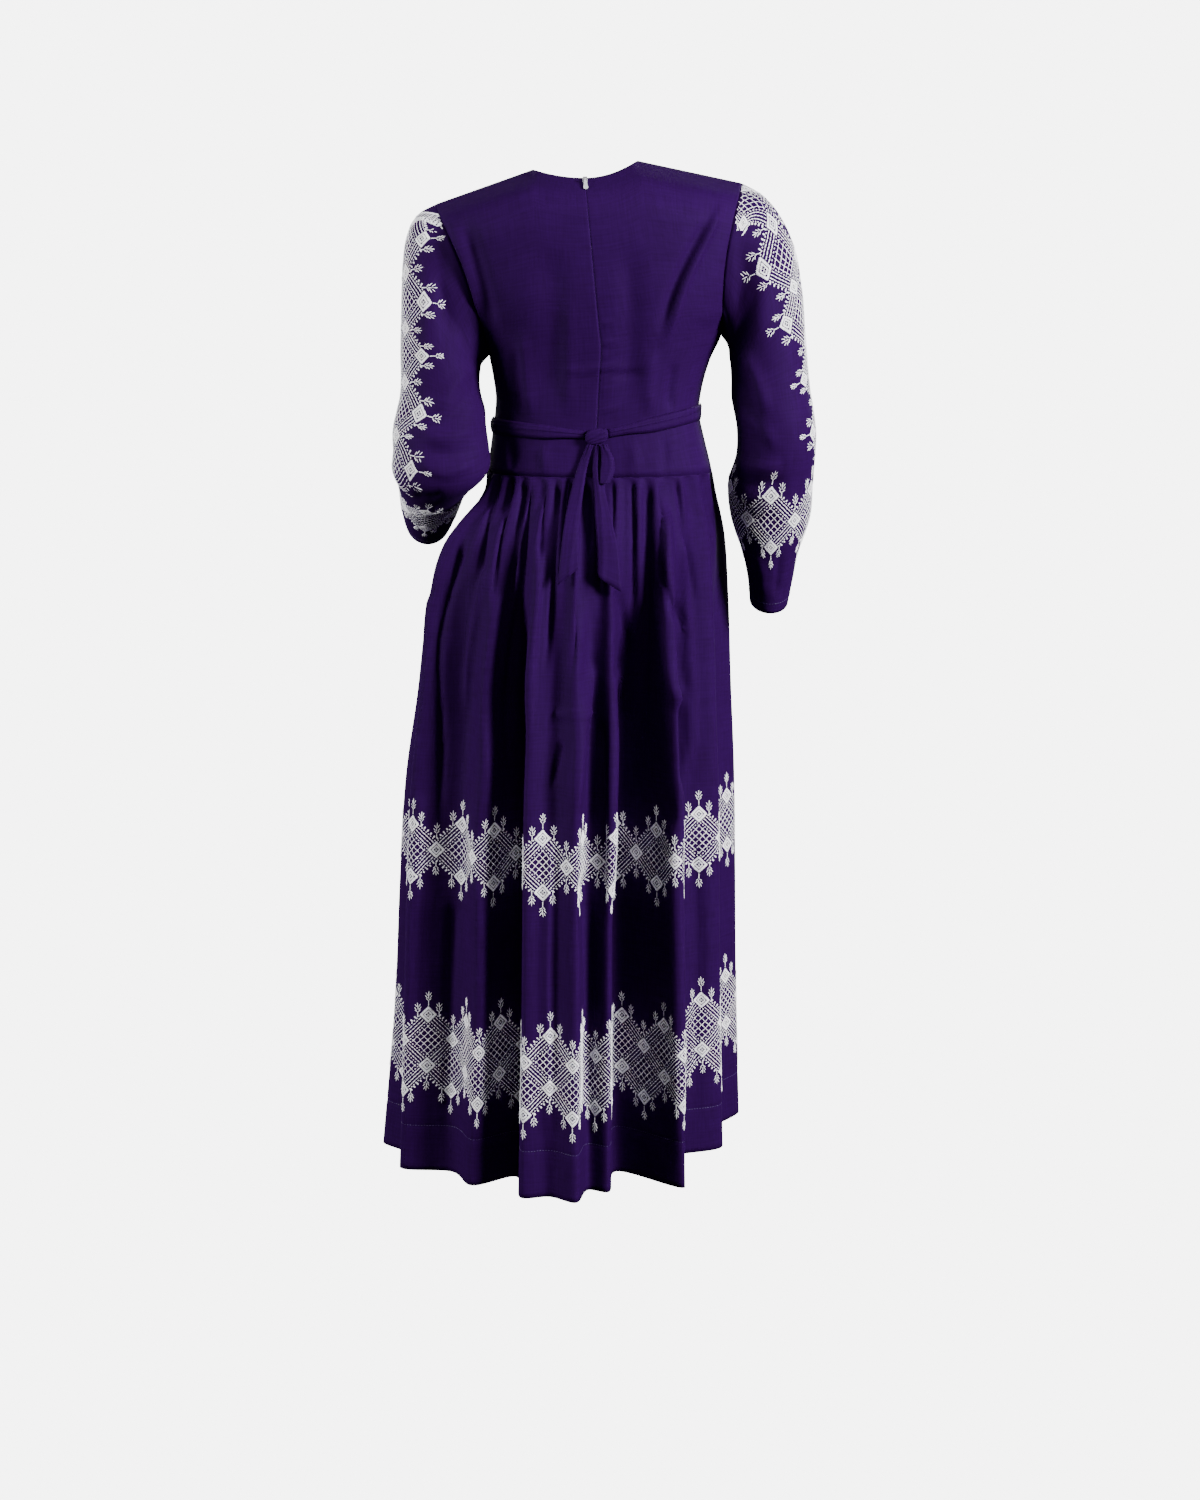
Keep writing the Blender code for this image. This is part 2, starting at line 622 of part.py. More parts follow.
def tie_knot(material, parts):
    """The knot: a small pillow seated between the ends of the two ties."""
    rounds = bmesh.new()
    bmesh.ops.create_uvsphere(rounds, u_segments=16, v_segments=10, radius=1.0)
    z = float(np.interp(KNOT_X, [p[0] for p in TIE_LINE], [p[1] for p in TIE_LINE]))
    cloth_y = float(middle_y(z) - body_depth(KNOT_X, z, False))
    for vert in rounds.verts:
        across, out, up = (math.copysign(abs(c) ** KNOT_SQUARE, c) for c in vert.co)
        if out < 0:
            out *= 1 - KNOT_GROOVE * math.exp(-((up / 0.3) ** 2))
        vert.co.x = KNOT_X + across * KNOT_HALF
        vert.co.y = cloth_y - KNOT_LIFT + out * KNOT_HALF_DEPTH
        vert.co.z = z + up * KNOT_HALF_HEIGHT
    bmesh.ops.recalc_face_normals(rounds, faces=rounds.faces)
    mesh = bpy.data.meshes.new("tie_knot")
    rounds.to_mesh(mesh)
    rounds.free()
    return finish_object("tie_knot", mesh, material, parts)


def zip_chain(panels, material, parts):
    """The coil behind the centre back seam: the panels' inner points, moved in."""
    left = panels["bodice_back_left"]
    right = panels["bodice_back_right"]
    rows = slice(1, -1)
    strips = []
    for panel, here, beside in ((left, -1, -2), (right, 0, 1)):
        inner, normals = panel["inner"][rows], panel["normals"][rows]
        step = inner[:, beside] - inner[:, here]
        step = step / np.linalg.norm(step, axis=1)[:, None]
        strips.append(inner[:, here] + step * CHAIN_HALF_WIDTH - normals[:, here] * SEAM_GAP)
    normals = left["normals"][rows, -1]
    centre = left["inner"][rows, -1] - normals * SEAM_GAP
    near = np.stack([strips[0], centre, strips[1]], 1)
    far = near - np.repeat(normals[:, None], 3, 1) * CHAIN_THICKNESS
    return cloth_wall("zip_chain", near, far, material, parts)


def hardware_frame(panels):
    """Place of the zip's hardware on the top of the centre back seam: across, out, up along it."""
    top, below = (
        (panels["bodice_back_left"]["grid"][row, -1] + panels["bodice_back_right"]["grid"][row, 0]) / 2
        for row in (-1, -2)
    )
    up = (top - below) / np.linalg.norm(top - below)
    out = np.cross(up, np.array([-1.0, 0, 0]))
    out = out / np.linalg.norm(out)
    out = out if out[1] < 0 else -out
    across = np.cross(out, up)
    origin = top - up * SLIDER_DROP + out * SEAM_GAP
    frame = Matrix.Identity(4)
    for column, axis in enumerate((across, out, up, origin)):
        for row in range(3):
            frame[row][column] = axis[row]
    return frame


def bevelled_box(mesh_builder, low, high, width):
    made = bmesh.ops.create_cube(mesh_builder, size=1.0)
    for vert in made["verts"]:
        for axis in range(3):
            vert.co[axis] = high[axis] if vert.co[axis] > 0 else low[axis]
    edges = {edge for vert in made["verts"] for edge in vert.link_edges}
    if width:
        bmesh.ops.bevel(mesh_builder, geom=list(edges), offset=width, segments=2, affect="EDGES", profile=0.5)


def cylinder_x(mesh_builder, radius, half_length, y, z, segments=16):
    turn = Matrix.Translation((0, y, z)) @ Matrix.Rotation(math.pi / 2, 4, "Y")
    bmesh.ops.create_cone(
        mesh_builder,
        cap_ends=True,
        segments=segments,
        radius1=radius,
        radius2=radius,
        depth=2 * half_length,
        matrix=turn,
    )


def mesh_from(name, fill):
    builder = bmesh.new()
    fill(builder)
    mesh = bpy.data.meshes.new(name)
    builder.to_mesh(mesh)
    builder.free()
    return mesh


def join_all(name, shapes, frame, material, parts, cutters, cuts=()):
    """One solid from several shapes with Boolean unions, then its cuts."""
    base = finish_object(name, mesh_from(name, shapes[0]), material, parts)
    base.matrix_world = frame
    for number, (shape, operation) in enumerate(
        [(shape, "UNION") for shape in shapes[1:]] + [(shape, "DIFFERENCE") for shape in cuts]
    ):
        tool = bpy.data.objects.new(f"{name}_tool_{number}", mesh_from(f"{name}_tool_{number}", shape))
        cutters.objects.link(tool)
        tool.matrix_world = frame
        tool.hide_render = True
        tool.display_type = "WIRE"
        modifier = base.modifiers.new(f"shape_{number}", "BOOLEAN")
        modifier.operation = operation
        modifier.object = tool
    return base


def zip_hardware(panels, material, parts, cutters):
    """The slider with its cheeks and cross pin, and the teardrop tab that swings on the pin."""
    frame = hardware_frame(panels)
    face = SLIDER_DEPTH
    pin_y = face + PIN_LIFT
    half = SLIDER_LENGTH / 2

    def body(builder):
        bevelled_box(builder, (-SLIDER_WIDTH / 2, 0, -half), (SLIDER_WIDTH / 2, face, half), 0.0006)

    def cheek(side):
        low_x, high_x = sorted((side * CHEEK_INNER, side * CHEEK_OUTER))
        low = (low_x, face - CHEEK_SINK, PIN_Z - CHEEK_HALF_HEIGHT)
        high = (high_x, pin_y + CHEEK_SINK, PIN_Z + CHEEK_HALF_HEIGHT)
        return lambda builder: bevelled_box(builder, low, high, 0)

    def pin(builder):
        cylinder_x(builder, PIN_RADIUS, (CHEEK_INNER + CHEEK_OUTER) / 2, pin_y, PIN_Z)

    join_all("zip_slider", [body, cheek(-1), cheek(1), pin], frame, material, parts, cutters)

    def eye(builder):
        cylinder_x(builder, TAB_EYE_RADIUS, CHEEK_INNER - SEAM_GAP, 0, 0, 20)

    def plate(builder):
        steps = 18
        half_height = TAB_HALF_WIDTH * TAB_ROUNDNESS
        points = [(-TAB_NECK, -TAB_NECK / 2), (TAB_NECK, -TAB_NECK / 2)]
        for i in range(steps + 1):
            angle = math.radians(35) - math.radians(250) * i / steps
            z = -TAB_LENGTH + half_height * (1 + math.sin(angle))
            points.append((TAB_HALF_WIDTH * math.cos(angle), z))
        near = [builder.verts.new((x, -TAB_THICKNESS / 2, z)) for x, z in points]
        far = [builder.verts.new((x, TAB_THICKNESS / 2, z)) for x, z in points]
        builder.faces.new(near)
        builder.faces.new(far[::-1])
        for i in range(len(points)):
            k = (i + 1) % len(points)
            builder.faces.new((near[i], near[k], far[k], far[i]))
        bmesh.ops.recalc_face_normals(builder, faces=builder.faces)

    def bore(builder):
        cylinder_x(builder, TAB_HOLE_RADIUS, CHEEK_OUTER * 2, 0, 0)

    tilt = Matrix.Rotation(math.radians(-TAB_TILT), 4, "X")
    tab_frame = frame @ Matrix.Translation((0, pin_y, PIN_Z)) @ tilt
    join_all("zip_pull_tab", [eye, plate], tab_frame, material, parts, cutters, [bore])


def build():
    for old in list(bpy.data.objects):
        bpy.data.objects.remove(old)
    parts = bpy.data.collections.new("maxi_dress")
    cutters = bpy.data.collections.new("cutters")
    bpy.context.scene.collection.children.link(parts)
    bpy.context.scene.collection.children.link(cutters)
    cutters.hide_render = True
    cloth = make_material("purple_viscose", CLOTH_COLOUR, 0.75)
    metal = make_material("dark_plated_zinc", METAL_COLOUR, 0.35, 1.0)
    coil = make_material("nylon_coil", COIL_COLOUR, 0.55)
    panels = garment_pieces()
    for name, piece in panels.items():
        cloth_wall(name, piece["grid"], piece["inner"], cloth, parts, piece["closed"])
    tie_pieces(panels, cloth, parts)
    tie_knot(cloth, parts)
    ribbon("tie_tail_right", TAIL_RIGHT, TAIL_LIFT, TAIL_SLANT, cloth, parts)
    ribbon("tie_tail_left", TAIL_LEFT, TAIL_LIFT, -TAIL_SLANT, cloth, parts)
    ribbon("tie_loop", LOOP, LOOP_LIFT, 0.0, cloth, parts)
    zip_chain(panels, coil, parts)
    zip_hardware(panels, metal, parts, cutters)


build()
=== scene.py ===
# %% [markdown]
# # A maxi dress with embroidered bands, seen from behind
#
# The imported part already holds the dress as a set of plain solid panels. This script dresses it:
# every panel is laid again as a thin, finely divided sheet of viscose with its creases, and the
# white embroidery is sewn onto those sheets stitch by stitch. Run the cells from top to bottom.
#
# Lengths are metres, +Z is up and the zip faces -Y, towards the camera.

import math

import bmesh
import bpy
import numpy as np
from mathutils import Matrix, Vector


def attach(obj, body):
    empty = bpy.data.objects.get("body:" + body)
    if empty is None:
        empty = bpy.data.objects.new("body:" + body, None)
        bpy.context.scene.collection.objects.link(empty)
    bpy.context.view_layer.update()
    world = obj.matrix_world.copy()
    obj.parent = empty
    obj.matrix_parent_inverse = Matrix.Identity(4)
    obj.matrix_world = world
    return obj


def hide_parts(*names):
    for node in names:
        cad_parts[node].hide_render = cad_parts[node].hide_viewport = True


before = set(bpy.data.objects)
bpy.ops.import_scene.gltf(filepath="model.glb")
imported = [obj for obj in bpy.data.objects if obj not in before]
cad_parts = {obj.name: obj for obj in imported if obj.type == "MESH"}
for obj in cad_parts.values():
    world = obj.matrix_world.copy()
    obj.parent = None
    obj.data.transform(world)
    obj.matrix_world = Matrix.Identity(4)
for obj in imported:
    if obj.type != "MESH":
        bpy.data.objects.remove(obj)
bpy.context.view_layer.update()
print("frame nodes:", len(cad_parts))

# %% [markdown]
# ## Sizes
#
# These are the part's own sizes and tables, so that each sheet lies where its solid does.

# %%
MM = 0.001
PLEAT_SEAM_Z = -0.372
HEM_Z = -1.26
NAPE_Z = -0.017
FRONT_NECK_Z = -0.095
SHOULDER_ROUND = 0.06
SECTION_POWER = 2.3
COLUMNS_PER_HALF = 12
NECK_COLUMN = 4
ARMHOLE_ROWS = 10
CAP_BLEND = 0.5
PLEAT_DEPTH = 0.006
PLEAT_END_Z = -0.60
FOLD_FULL_Z = -0.70
TIE_WIDTH = 0.0145
KNOT_X = -0.004
KNOT_HALF = 0.014
KNOT_HALF_HEIGHT = 0.0088
KNOT_HALF_DEPTH = 0.0058
KNOT_LIFT = 0.0070
TAIL_LIFT = 0.0030
LOOP_LIFT = 0.0080
TAIL_REACH = 0.016
CLOTH = 0.0008

# Body sections: height, middle, half width, back depth, front depth
BODY = [
    (PLEAT_SEAM_Z, 0.000, 0.140, 0.088, 0.096),
    (-0.345, -0.001, 0.134, 0.085, 0.093),
    (-0.316, -0.004, 0.1285, 0.083, 0.092),
    (-0.290, -0.003, 0.126, 0.086, 0.096),
    (-0.250, -0.001, 0.132, 0.093, 0.108),
    (-0.215, 0.001, 0.143, 0.101, 0.118),
    (-0.180, -0.002, 0.165, 0.108, 0.120),
    (-0.140, -0.006, 0.185, 0.112, 0.113),
    (-0.100, -0.010, 0.197, 0.112, 0.101),
    (-0.050, -0.015, 0.204, 0.108, 0.086),
    (0.010, -0.018, 0.208, 0.098, 0.074),
]
# Shoulder seam of each side: neck point x, z; shoulder tip x, z; armpit z
SHOULDERS = {
    "left": (-0.0815, -0.006, -0.200, -0.047, -0.230),
    "right": (0.0455, 0.0045, 0.172, -0.022, -0.205),
}
NECK_MIDDLE_X = -0.018
SHOULDER_Y = -0.010
TIE_LINE = [(-0.140, -0.3125), (-0.003, -0.322), (0.130, -0.295)]
SPREAD = [
    (PLEAT_SEAM_Z, 0.0),
    (-0.40, 0.12),
    (-0.43, 0.28),
    (-0.456, 0.39),
    (-0.535, 0.52),
    (-0.656, 0.63),
    (-0.761, 0.74),
    (-0.902, 0.81),
    (-1.061, 0.87),
    (HEM_Z, 1.0),
]
# Folds: waist angle of the ridge, its hem x and y, the depth of the valley after it, early fullness
FOLDS = [
    (-90, -0.2870, 0.010, 0.020, 0.00),
    (-66, -0.2560, -0.085, 0.026, 0.13),
    (-44, -0.1620, -0.145, 0.056, 0.04),
    (-24, -0.0980, -0.187, 0.012, 0.03),
    (-8, -0.0300, -0.203, 0.026, 0.03),
    (6, 0.0100, -0.168, 0.074, 0.05),
    (26, 0.1060, -0.153, 0.060, 0.05),
    (56, 0.1600, -0.010, 0.026, 0.00),
    (90, 0.1900, 0.130, 0.022, -0.02),
    (112, 0.1560, 0.226, 0.030, 0.00),
    (135, 0.0780, 0.246, 0.036, 0.00),
    (158, -0.0040, 0.236, 0.045, 0.00),
    (181, -0.0860, 0.250, 0.030, 0.00),
    (205, -0.1680, 0.220, 0.042, 0.00),
    (229, -0.2360, 0.160, 0.028, 0.00),
    (250, -0.2780, 0.090, 0.018, -0.04),
]
RIGHT_SEAM_FOLD = 8
HEM_MIDDLE = (-0.048, 0.020)
ARM_ROOM = (0.035, -0.425, 0.075, 0.050, 0.024)
# Sleeve sections: middle x, y, z, half across, half deep, lean and pitch in degrees
SLEEVE_RIGHT = [
    (0.1765, -0.005, -0.1250, 0.0913, 0.0680, 77, 0),
    (0.1895, -0.008, -0.1420, 0.0856, 0.0670, 69, 0),
    (0.1985, -0.012, -0.1655, 0.0760, 0.0655, 59, 0),
    (0.2040, -0.015, -0.1965, 0.0633, 0.0630, 47, 0),
    (0.2068, -0.018, -0.2320, 0.0527, 0.0600, 31, 0),
    (0.2100, -0.020, -0.2725, 0.0487, 0.0580, 12, 0),
    (0.2175, -0.020, -0.3150, 0.0487, 0.0560, 0, 0),
    (0.2180, -0.012, -0.3510, 0.0490, 0.0560, 0, 4),
    (0.2130, 0.002, -0.3860, 0.0527, 0.0550, 0, 10),
    (0.2145, 0.018, -0.4280, 0.0500, 0.0520, 0, 16),
    (0.2157, 0.034, -0.4740, 0.0360, 0.0470, 0, 18),
    (0.2172, 0.045, -0.5100, 0.0290, 0.0420, 0, 18),
    (0.2165, 0.055, -0.5430, 0.0245, 0.0390, 0, 18),
]
SLEEVE_LEFT = [
    (-0.1843, -0.005, -0.1500, 0.0976, 0.0680, 67, 0),
    (-0.1920, -0.010, -0.1680, 0.0913, 0.0670, 61, 0),
    (-0.1948, -0.015, -0.1910, 0.0806, 0.0650, 55, 0),
    (-0.1953, -0.020, -0.2190, 0.0684, 0.0620, 46, 0),
    (-0.1948, -0.025, -0.2500, 0.0577, 0.0590, 31, 0),
    (-0.1930, -0.030, -0.2835, 0.0530, 0.0570, 12, 0),
    (-0.1970, -0.036, -0.3150, 0.0572, 0.0560, 0, 2),
    (-0.1950, -0.043, -0.3420, 0.0590, 0.0550, 0, 14),
    (-0.1960, -0.041, -0.3620, 0.0600, 0.0530, 0, 31),
    (-0.2030, -0.020, -0.3740, 0.0500, 0.0460, 0, 50),
    (-0.2095, 0.014, -0.3890, 0.0430, 0.0425, 0, 60),
    (-0.2145, 0.050, -0.4080, 0.0395, 0.0400, 0, 61),
    (-0.2190, 0.085, -0.4280, 0.0355, 0.0380, 0, 60),
    (-0.2230, 0.118, -0.4460, 0.0300, 0.0360, 0, 60),
]
# Free ends of the tie, from the knot down: x, z, half width, twist in degrees
TAIL_RIGHT = [
    (-0.0015, -0.3311, 0.0045, 20),
    (-0.0035, -0.3600, 0.0060, 15),
    (0.0000, -0.3900, 0.0070, 5),
    (0.0040, -0.4200, 0.0100, -5),
    (0.0090, -0.4550, 0.0130, -8),
    (0.0110, -0.4950, 0.0155, -5),
]
TAIL_LEFT = [
    (-0.0115, -0.3311, 0.0042, -10),
    (-0.0215, -0.3600, 0.0062, -15),
    (-0.0300, -0.4000, 0.0085, -12),
    (-0.0355, -0.4400, 0.0100, -8),
    (-0.0385, -0.4850, 0.0125, -5),
]
LOOP = [
    (0.0045, -0.3307, 0.0042, 0),
    (0.0090, -0.3480, 0.0075, 8),
    (0.0090, -0.3640, 0.0085, 5),
    (0.0060, -0.3780, 0.0060, 0),
]
TAIL_SLANT = 0.010

# %% [markdown]
# ## The shape of the dress
#
# The same formulas that shape the solids, asked for many more points.

# %%
def ease(t):
    t = np.clip(t, 0, 1)
    return t * t * (3 - 2 * t)


def hermite(a, b, slope_a, slope_b, t):
    """A smooth curve from a to b with the given slopes at its ends."""
    return (
        a * (1 + 2 * t) * (1 - t) ** 2
        + slope_a * t * (1 - t) ** 2
        + b * t * t * (3 - 2 * t)
        + slope_b * t * t * (t - 1)
    )


def smooth(table, at, column=1):
    """A smooth curve through one column of a table whose first column is the place."""
    rows = sorted(table)
    x = np.array([row[0] for row in rows], float)
    y = np.array([row[column] for row in rows], float)
    at = np.clip(np.asarray(at, float), x[0], x[-1])
    rise = np.diff(y) / np.diff(x)
    slope = np.concatenate([rise[:1], (rise[1:] + rise[:-1]) / 2, rise[-1:]])
    flat = np.concatenate([[False], rise[1:] * rise[:-1] <= 0, [False]])
    slope[flat] = 0
    i = np.clip(np.searchsorted(x, at, side="right") - 1, 0, len(x) - 2)
    step = x[i + 1] - x[i]
    return hermite(y[i], y[i + 1], slope[i] * step, slope[i + 1] * step, (at - x[i]) / step)


def resample_rows(grid, steps):
    """Rows between the given ones, on smooth curves down each column."""
    rows = len(grid)
    at = np.linspace(0, rows - 1, (rows - 1) * steps + 1)
    i = np.minimum(at.astype(int), rows - 2)
    t = (at - i)[:, None, None]
    slope = np.gradient(grid, axis=0)
    return hermite(grid[i], grid[i + 1], slope[i], slope[i + 1], t)


# %% [markdown]
# The bodice is a rounded section that closes over the shoulders.

# %%
def shoulder(x):
    left, right = SHOULDERS["left"], SHOULDERS["right"]
    return np.interp(x, [left[2], left[0], right[0], right[2]], [left[3], left[1], right[1], right[3]])


def armpit(x):
    return np.interp(x, [-0.14, 0.145], [SHOULDERS["left"][4], SHOULDERS["right"][4]])


def body_depth(x, z, front):
    away = np.clip(np.abs(x - smooth(BODY, z, 1)) / smooth(BODY, z, 2), 0, 1)
    section = (1 - away**SECTION_POWER) ** (1 / SECTION_POWER)
    near_top = np.clip((shoulder(x) - z) / SHOULDER_ROUND, 0, 1)
    return smooth(BODY, z, 4 if front else 3) * section * np.sqrt(1 - (1 - near_top) ** 2)


def middle_y(z):
    return SHOULDER_Y * ease((z + 0.22) / 0.2)


def tie_height(x, front=False):
    line = [TIE_LINE[0], TIE_LINE[2]] if front else TIE_LINE
    return np.interp(x, [p[0] for p in line], [p[1] for p in line])


def bodice_grid(front, columns):
    """Points of the bodice. A column counts from the centre line, -X first, and may be a fraction."""
    side = np.sign(columns)
    part = np.abs(columns) / COLUMNS_PER_HALF
    low = np.sin(part * math.pi / 2) ** (2 / SECTION_POWER)
    neck_part = NECK_COLUMN / COLUMNS_PER_HALF
    tips = np.where(side < 0, SHOULDERS["left"][2], SHOULDERS["right"][2])
    necks = np.where(side < 0, SHOULDERS["left"][0], SHOULDERS["right"][0])
    tip_half = np.abs(tips - NECK_MIDDLE_X)
    neck_half = np.abs(necks - NECK_MIDDLE_X)
    over_neck = neck_half * part / neck_part
    over_shoulder = neck_half + (tip_half - neck_half) * (part - neck_part) / (1 - neck_part)
    top_half = np.where(part < neck_part, over_neck, over_shoulder)
    heights = [lambda x: np.full_like(x, PLEAT_SEAM_Z)]
    heights += [lambda x, s=s: tie_height(x, front) + s * TIE_WIDTH / 2 for s in (-1, 1)]
    for share in (0.33, 0.67, 1.0):
        heights.append(
            lambda x, share=share: (tie_height(x, front) + TIE_WIDTH / 2) * (1 - share) + armpit(x) * share
        )
    grid = []
    for height in heights:
        x = np.zeros(len(columns))
        for _ in range(6):
            z = height(x)
            x = smooth(BODY, z, 1) + side * low * smooth(BODY, z, 2)
        z = height(x)
        grid.append(np.stack([x, middle_y(z) + (1 if front else -1) * body_depth(x, z, front), z], 1))
    base = grid[-1]
    top_x = NECK_MIDDLE_X + side * top_half
    neck_z = FRONT_NECK_Z if front else NAPE_Z
    into_neck = np.clip(part / neck_part, 0, 1) ** (2.6 if front else 2.0)
    top_z = np.where(part < neck_part, neck_z + (shoulder(necks) - neck_z) * into_neck, shoulder(top_x))
    for row in range(1, ARMHOLE_ROWS + 1):
        up = (row / ARMHOLE_ROWS) ** 0.9
        z = base[:, 2] + (top_z - base[:, 2]) * up
        hollow = 0.010 * np.sin(up * math.pi) * part
        x = base[:, 0] + (top_x - base[:, 0]) * up - side * hollow
        grid.append(np.stack([x, middle_y(z) + (1 if front else -1) * body_depth(x, z, front), z], 1))
    return np.array(grid)


# %% [markdown]
# The skirt is a closed ring at each height, through the ridges and valleys of sixteen folds.

# %%
def waist_point(degrees):
    angle = np.radians(degrees)
    _, middle, half, back, front = BODY[0]
    power = 2 / SECTION_POWER
    depth = np.where(np.cos(angle) > 0, back, front)
    x = middle + half * np.sign(np.sin(angle)) * np.abs(np.sin(angle)) ** power
    return np.stack([x, -depth * np.sign(np.cos(angle)) * np.abs(np.cos(angle)) ** power], -1)


def fold_controls(z):
    spread = float(smooth(SPREAD, z))
    growth = float(ease((PLEAT_SEAM_Z - z) / (PLEAT_SEAM_Z - FOLD_FULL_Z)))
    count = len(FOLDS)
    middle = np.array(HEM_MIDDLE) * spread
    points = []
    for i, fold in enumerate(FOLDS):
        after = FOLDS[(i + 1) % count]
        after_angle = after[0] + (360 if i == count - 1 else 0)

        def ridge(row):
            share = spread + row[4] * 4 * spread * (1 - spread)
            return waist_point(row[0]) * (1 - share) + np.array([row[1], row[2]]) * share

        here, there = ridge(fold), ridge(after)
        arc = waist_point((fold[0] + after_angle) / 2)
        chord = (waist_point(fold[0]) + waist_point(after_angle)) / 2
        between = (here + there) / 2 + (arc - chord) * (1 - spread)
        inward = middle - between
        points.append(here)
        points.append(between + inward / np.linalg.norm(inward) * fold[3] * growth)
    return np.array(points)


def skirt_ring(z, fold_places):
    """Plan points at height z. A place counts ridges: 0 is the first, 0.5 the valley after it."""
    controls = fold_controls(z)
    count = len(controls)
    place = np.asarray(fold_places, float) * 2
    i = np.floor(place).astype(int)
    t = (place - i)[:, None]
    p0, p1, p2, p3 = (controls[(i + k) % count] for k in (-1, 0, 1, 2))
    d01, d12, d23 = (
        np.sqrt(np.linalg.norm(b - a, axis=1))[:, None] for a, b in ((p0, p1), (p1, p2), (p2, p3))
    )
    m1 = ((p1 - p0) / d01 - (p2 - p0) / (d01 + d12) + (p2 - p1) / d12) * d12
    m2 = ((p2 - p1) / d12 - (p3 - p1) / (d12 + d23) + (p3 - p2) / d23) * d12
    ring = hermite(p1, p2, m1, m2, t)
    down = (PLEAT_SEAM_Z - z) / (PLEAT_SEAM_Z - PLEAT_END_Z)
    strength = PLEAT_DEPTH * float(np.sin(math.pi * np.clip(down, 0, 1) ** 0.45))
    trough = strength * (0.5 - 0.5 * np.cos(2 * math.pi * place))
    inward = np.array(HEM_MIDDLE) * float(smooth(SPREAD, z)) - ring
    ring = ring + inward / np.linalg.norm(inward, axis=1)[:, None] * trough[:, None]
    arm_y, arm_z, reach_y, reach_z, depth = ARM_ROOM
    near = np.exp(-(((ring[:, 1] - arm_y) / reach_y) ** 2) - ((z - arm_z) / reach_z) ** 2)
    start = float(ease((PLEAT_SEAM_Z - z) / 0.02))
    ring[:, 0] += np.where(ring[:, 0] < -0.06, depth * near * start, 0)
    return ring


# %% [markdown]
# A sleeve starts at the armhole and runs through its own table of leaning rings.

# %%
def sleeve_grid(armhole, sections, outward):
    angles = np.linspace(0, 2 * math.pi, len(armhole), endpoint=False)
    rings = [armhole]
    for number, (x, y, z, across, deep, lean, pitch) in enumerate(sections):
        lean, pitch = math.radians(lean), math.radians(pitch)
        along = np.array([outward * math.cos(lean), 0, math.sin(lean)])
        front = np.array([0, math.cos(pitch), math.sin(pitch)])
        ring = np.array([x, y, z]) + across * np.cos(angles)[:, None] * along
        ring -= deep * np.sin(angles)[:, None] * front
        ring[:, 1] += (armhole[:, 1] - ring[:, 1]) * CAP_BLEND ** (number + 1)
        rings.append(ring)
    return np.array(rings)


# %% [markdown]
# ## Creases
#
# Each crease is a line on the cloth seen from behind or in front: its half width, its lift and
# then the x and z of its points, all in millimetres. A lift above 0 is a ridge and below 0 a trough.
# They are placed one by one and no two are alike.

# %%
BACK_CREASES = [
    (6, 3.6, 152, -37, 107, -124, 84, -190, 77, -219),
    (9, -2.6, 140, -50, 97, -128, 70, -205),
    (14, 2.8, -180, -60, -160, -130, -146, -197),
    (10, -2.2, -163, -62, -140, -140, -128, -205),
    (22, -2.4, -59, -83, -57, -194, -63, -303),
    (9, 1.2, -36, -150, -38, -240, -36, -308),
    (18, -2.2, 33, -83, 38, -194, 30, -303),
    (10, 1.6, -95, -190, -88, -260, -84, -306),
    (7, -1.8, -104, -215, -104, -262, -97, -306),
    (9, 1.4, 62, -215, 58, -262, 60, -300),
    (6, -1.4, 90, -232, 84, -270, 86, -296),
    (3.4, 1.1, -52, -240, -20, -244, 0, -239, 48, -242),
    (4, -0.9, 4, -247, 30, -249, 56, -246),
    (2.6, 0.8, 1, -188, 9, -186, 17, -185),
    (2.6, 0.9, 1, -210, 10, -208, 19, -207),
    (2.4, 0.7, 1, -226, 9, -225, 15, -222),
    (2.6, 0.9, 1, -269, 8, -268, 16, -266),
    (2.2, 0.7, 1, -280, 7, -278, 13, -277),
    (2.6, 0.9, 1, -292, 10, -290, 21, -287),
    (4, 1.8, -126, -364, -112, -362, -98, -369),
    (5, -1.4, -112, -330, -106, -350, -108, -368),
    (7, 1.4, -70, -334, -66, -352, -68, -370),
    (8, 1.2, 40, -330, 42, -350, 38, -370),
    (6, -1.2, 78, -322, 80, -345, 76, -370),
]
FRONT_CREASES = [
    (12, 2.8, -150, -70, -118, -150, -96, -215),
    (10, 2.6, 120, -60, 96, -140, 82, -205),
    (20, -2.4, -30, -110, -34, -200, -28, -300),
    (18, -2.0, 46, -120, 40, -210, 44, -300),
    (8, 1.6, -92, -225, -86, -270, -84, -306),
    (8, 1.5, 84, -215, 76, -262, 78, -300),
    (4, 1.0, -60, -255, -10, -262, 40, -256),
    (6, 1.3, -70, -334, -66, -352, -70, -370),
    (7, -1.3, 52, -330, 48, -350, 52, -370),
]
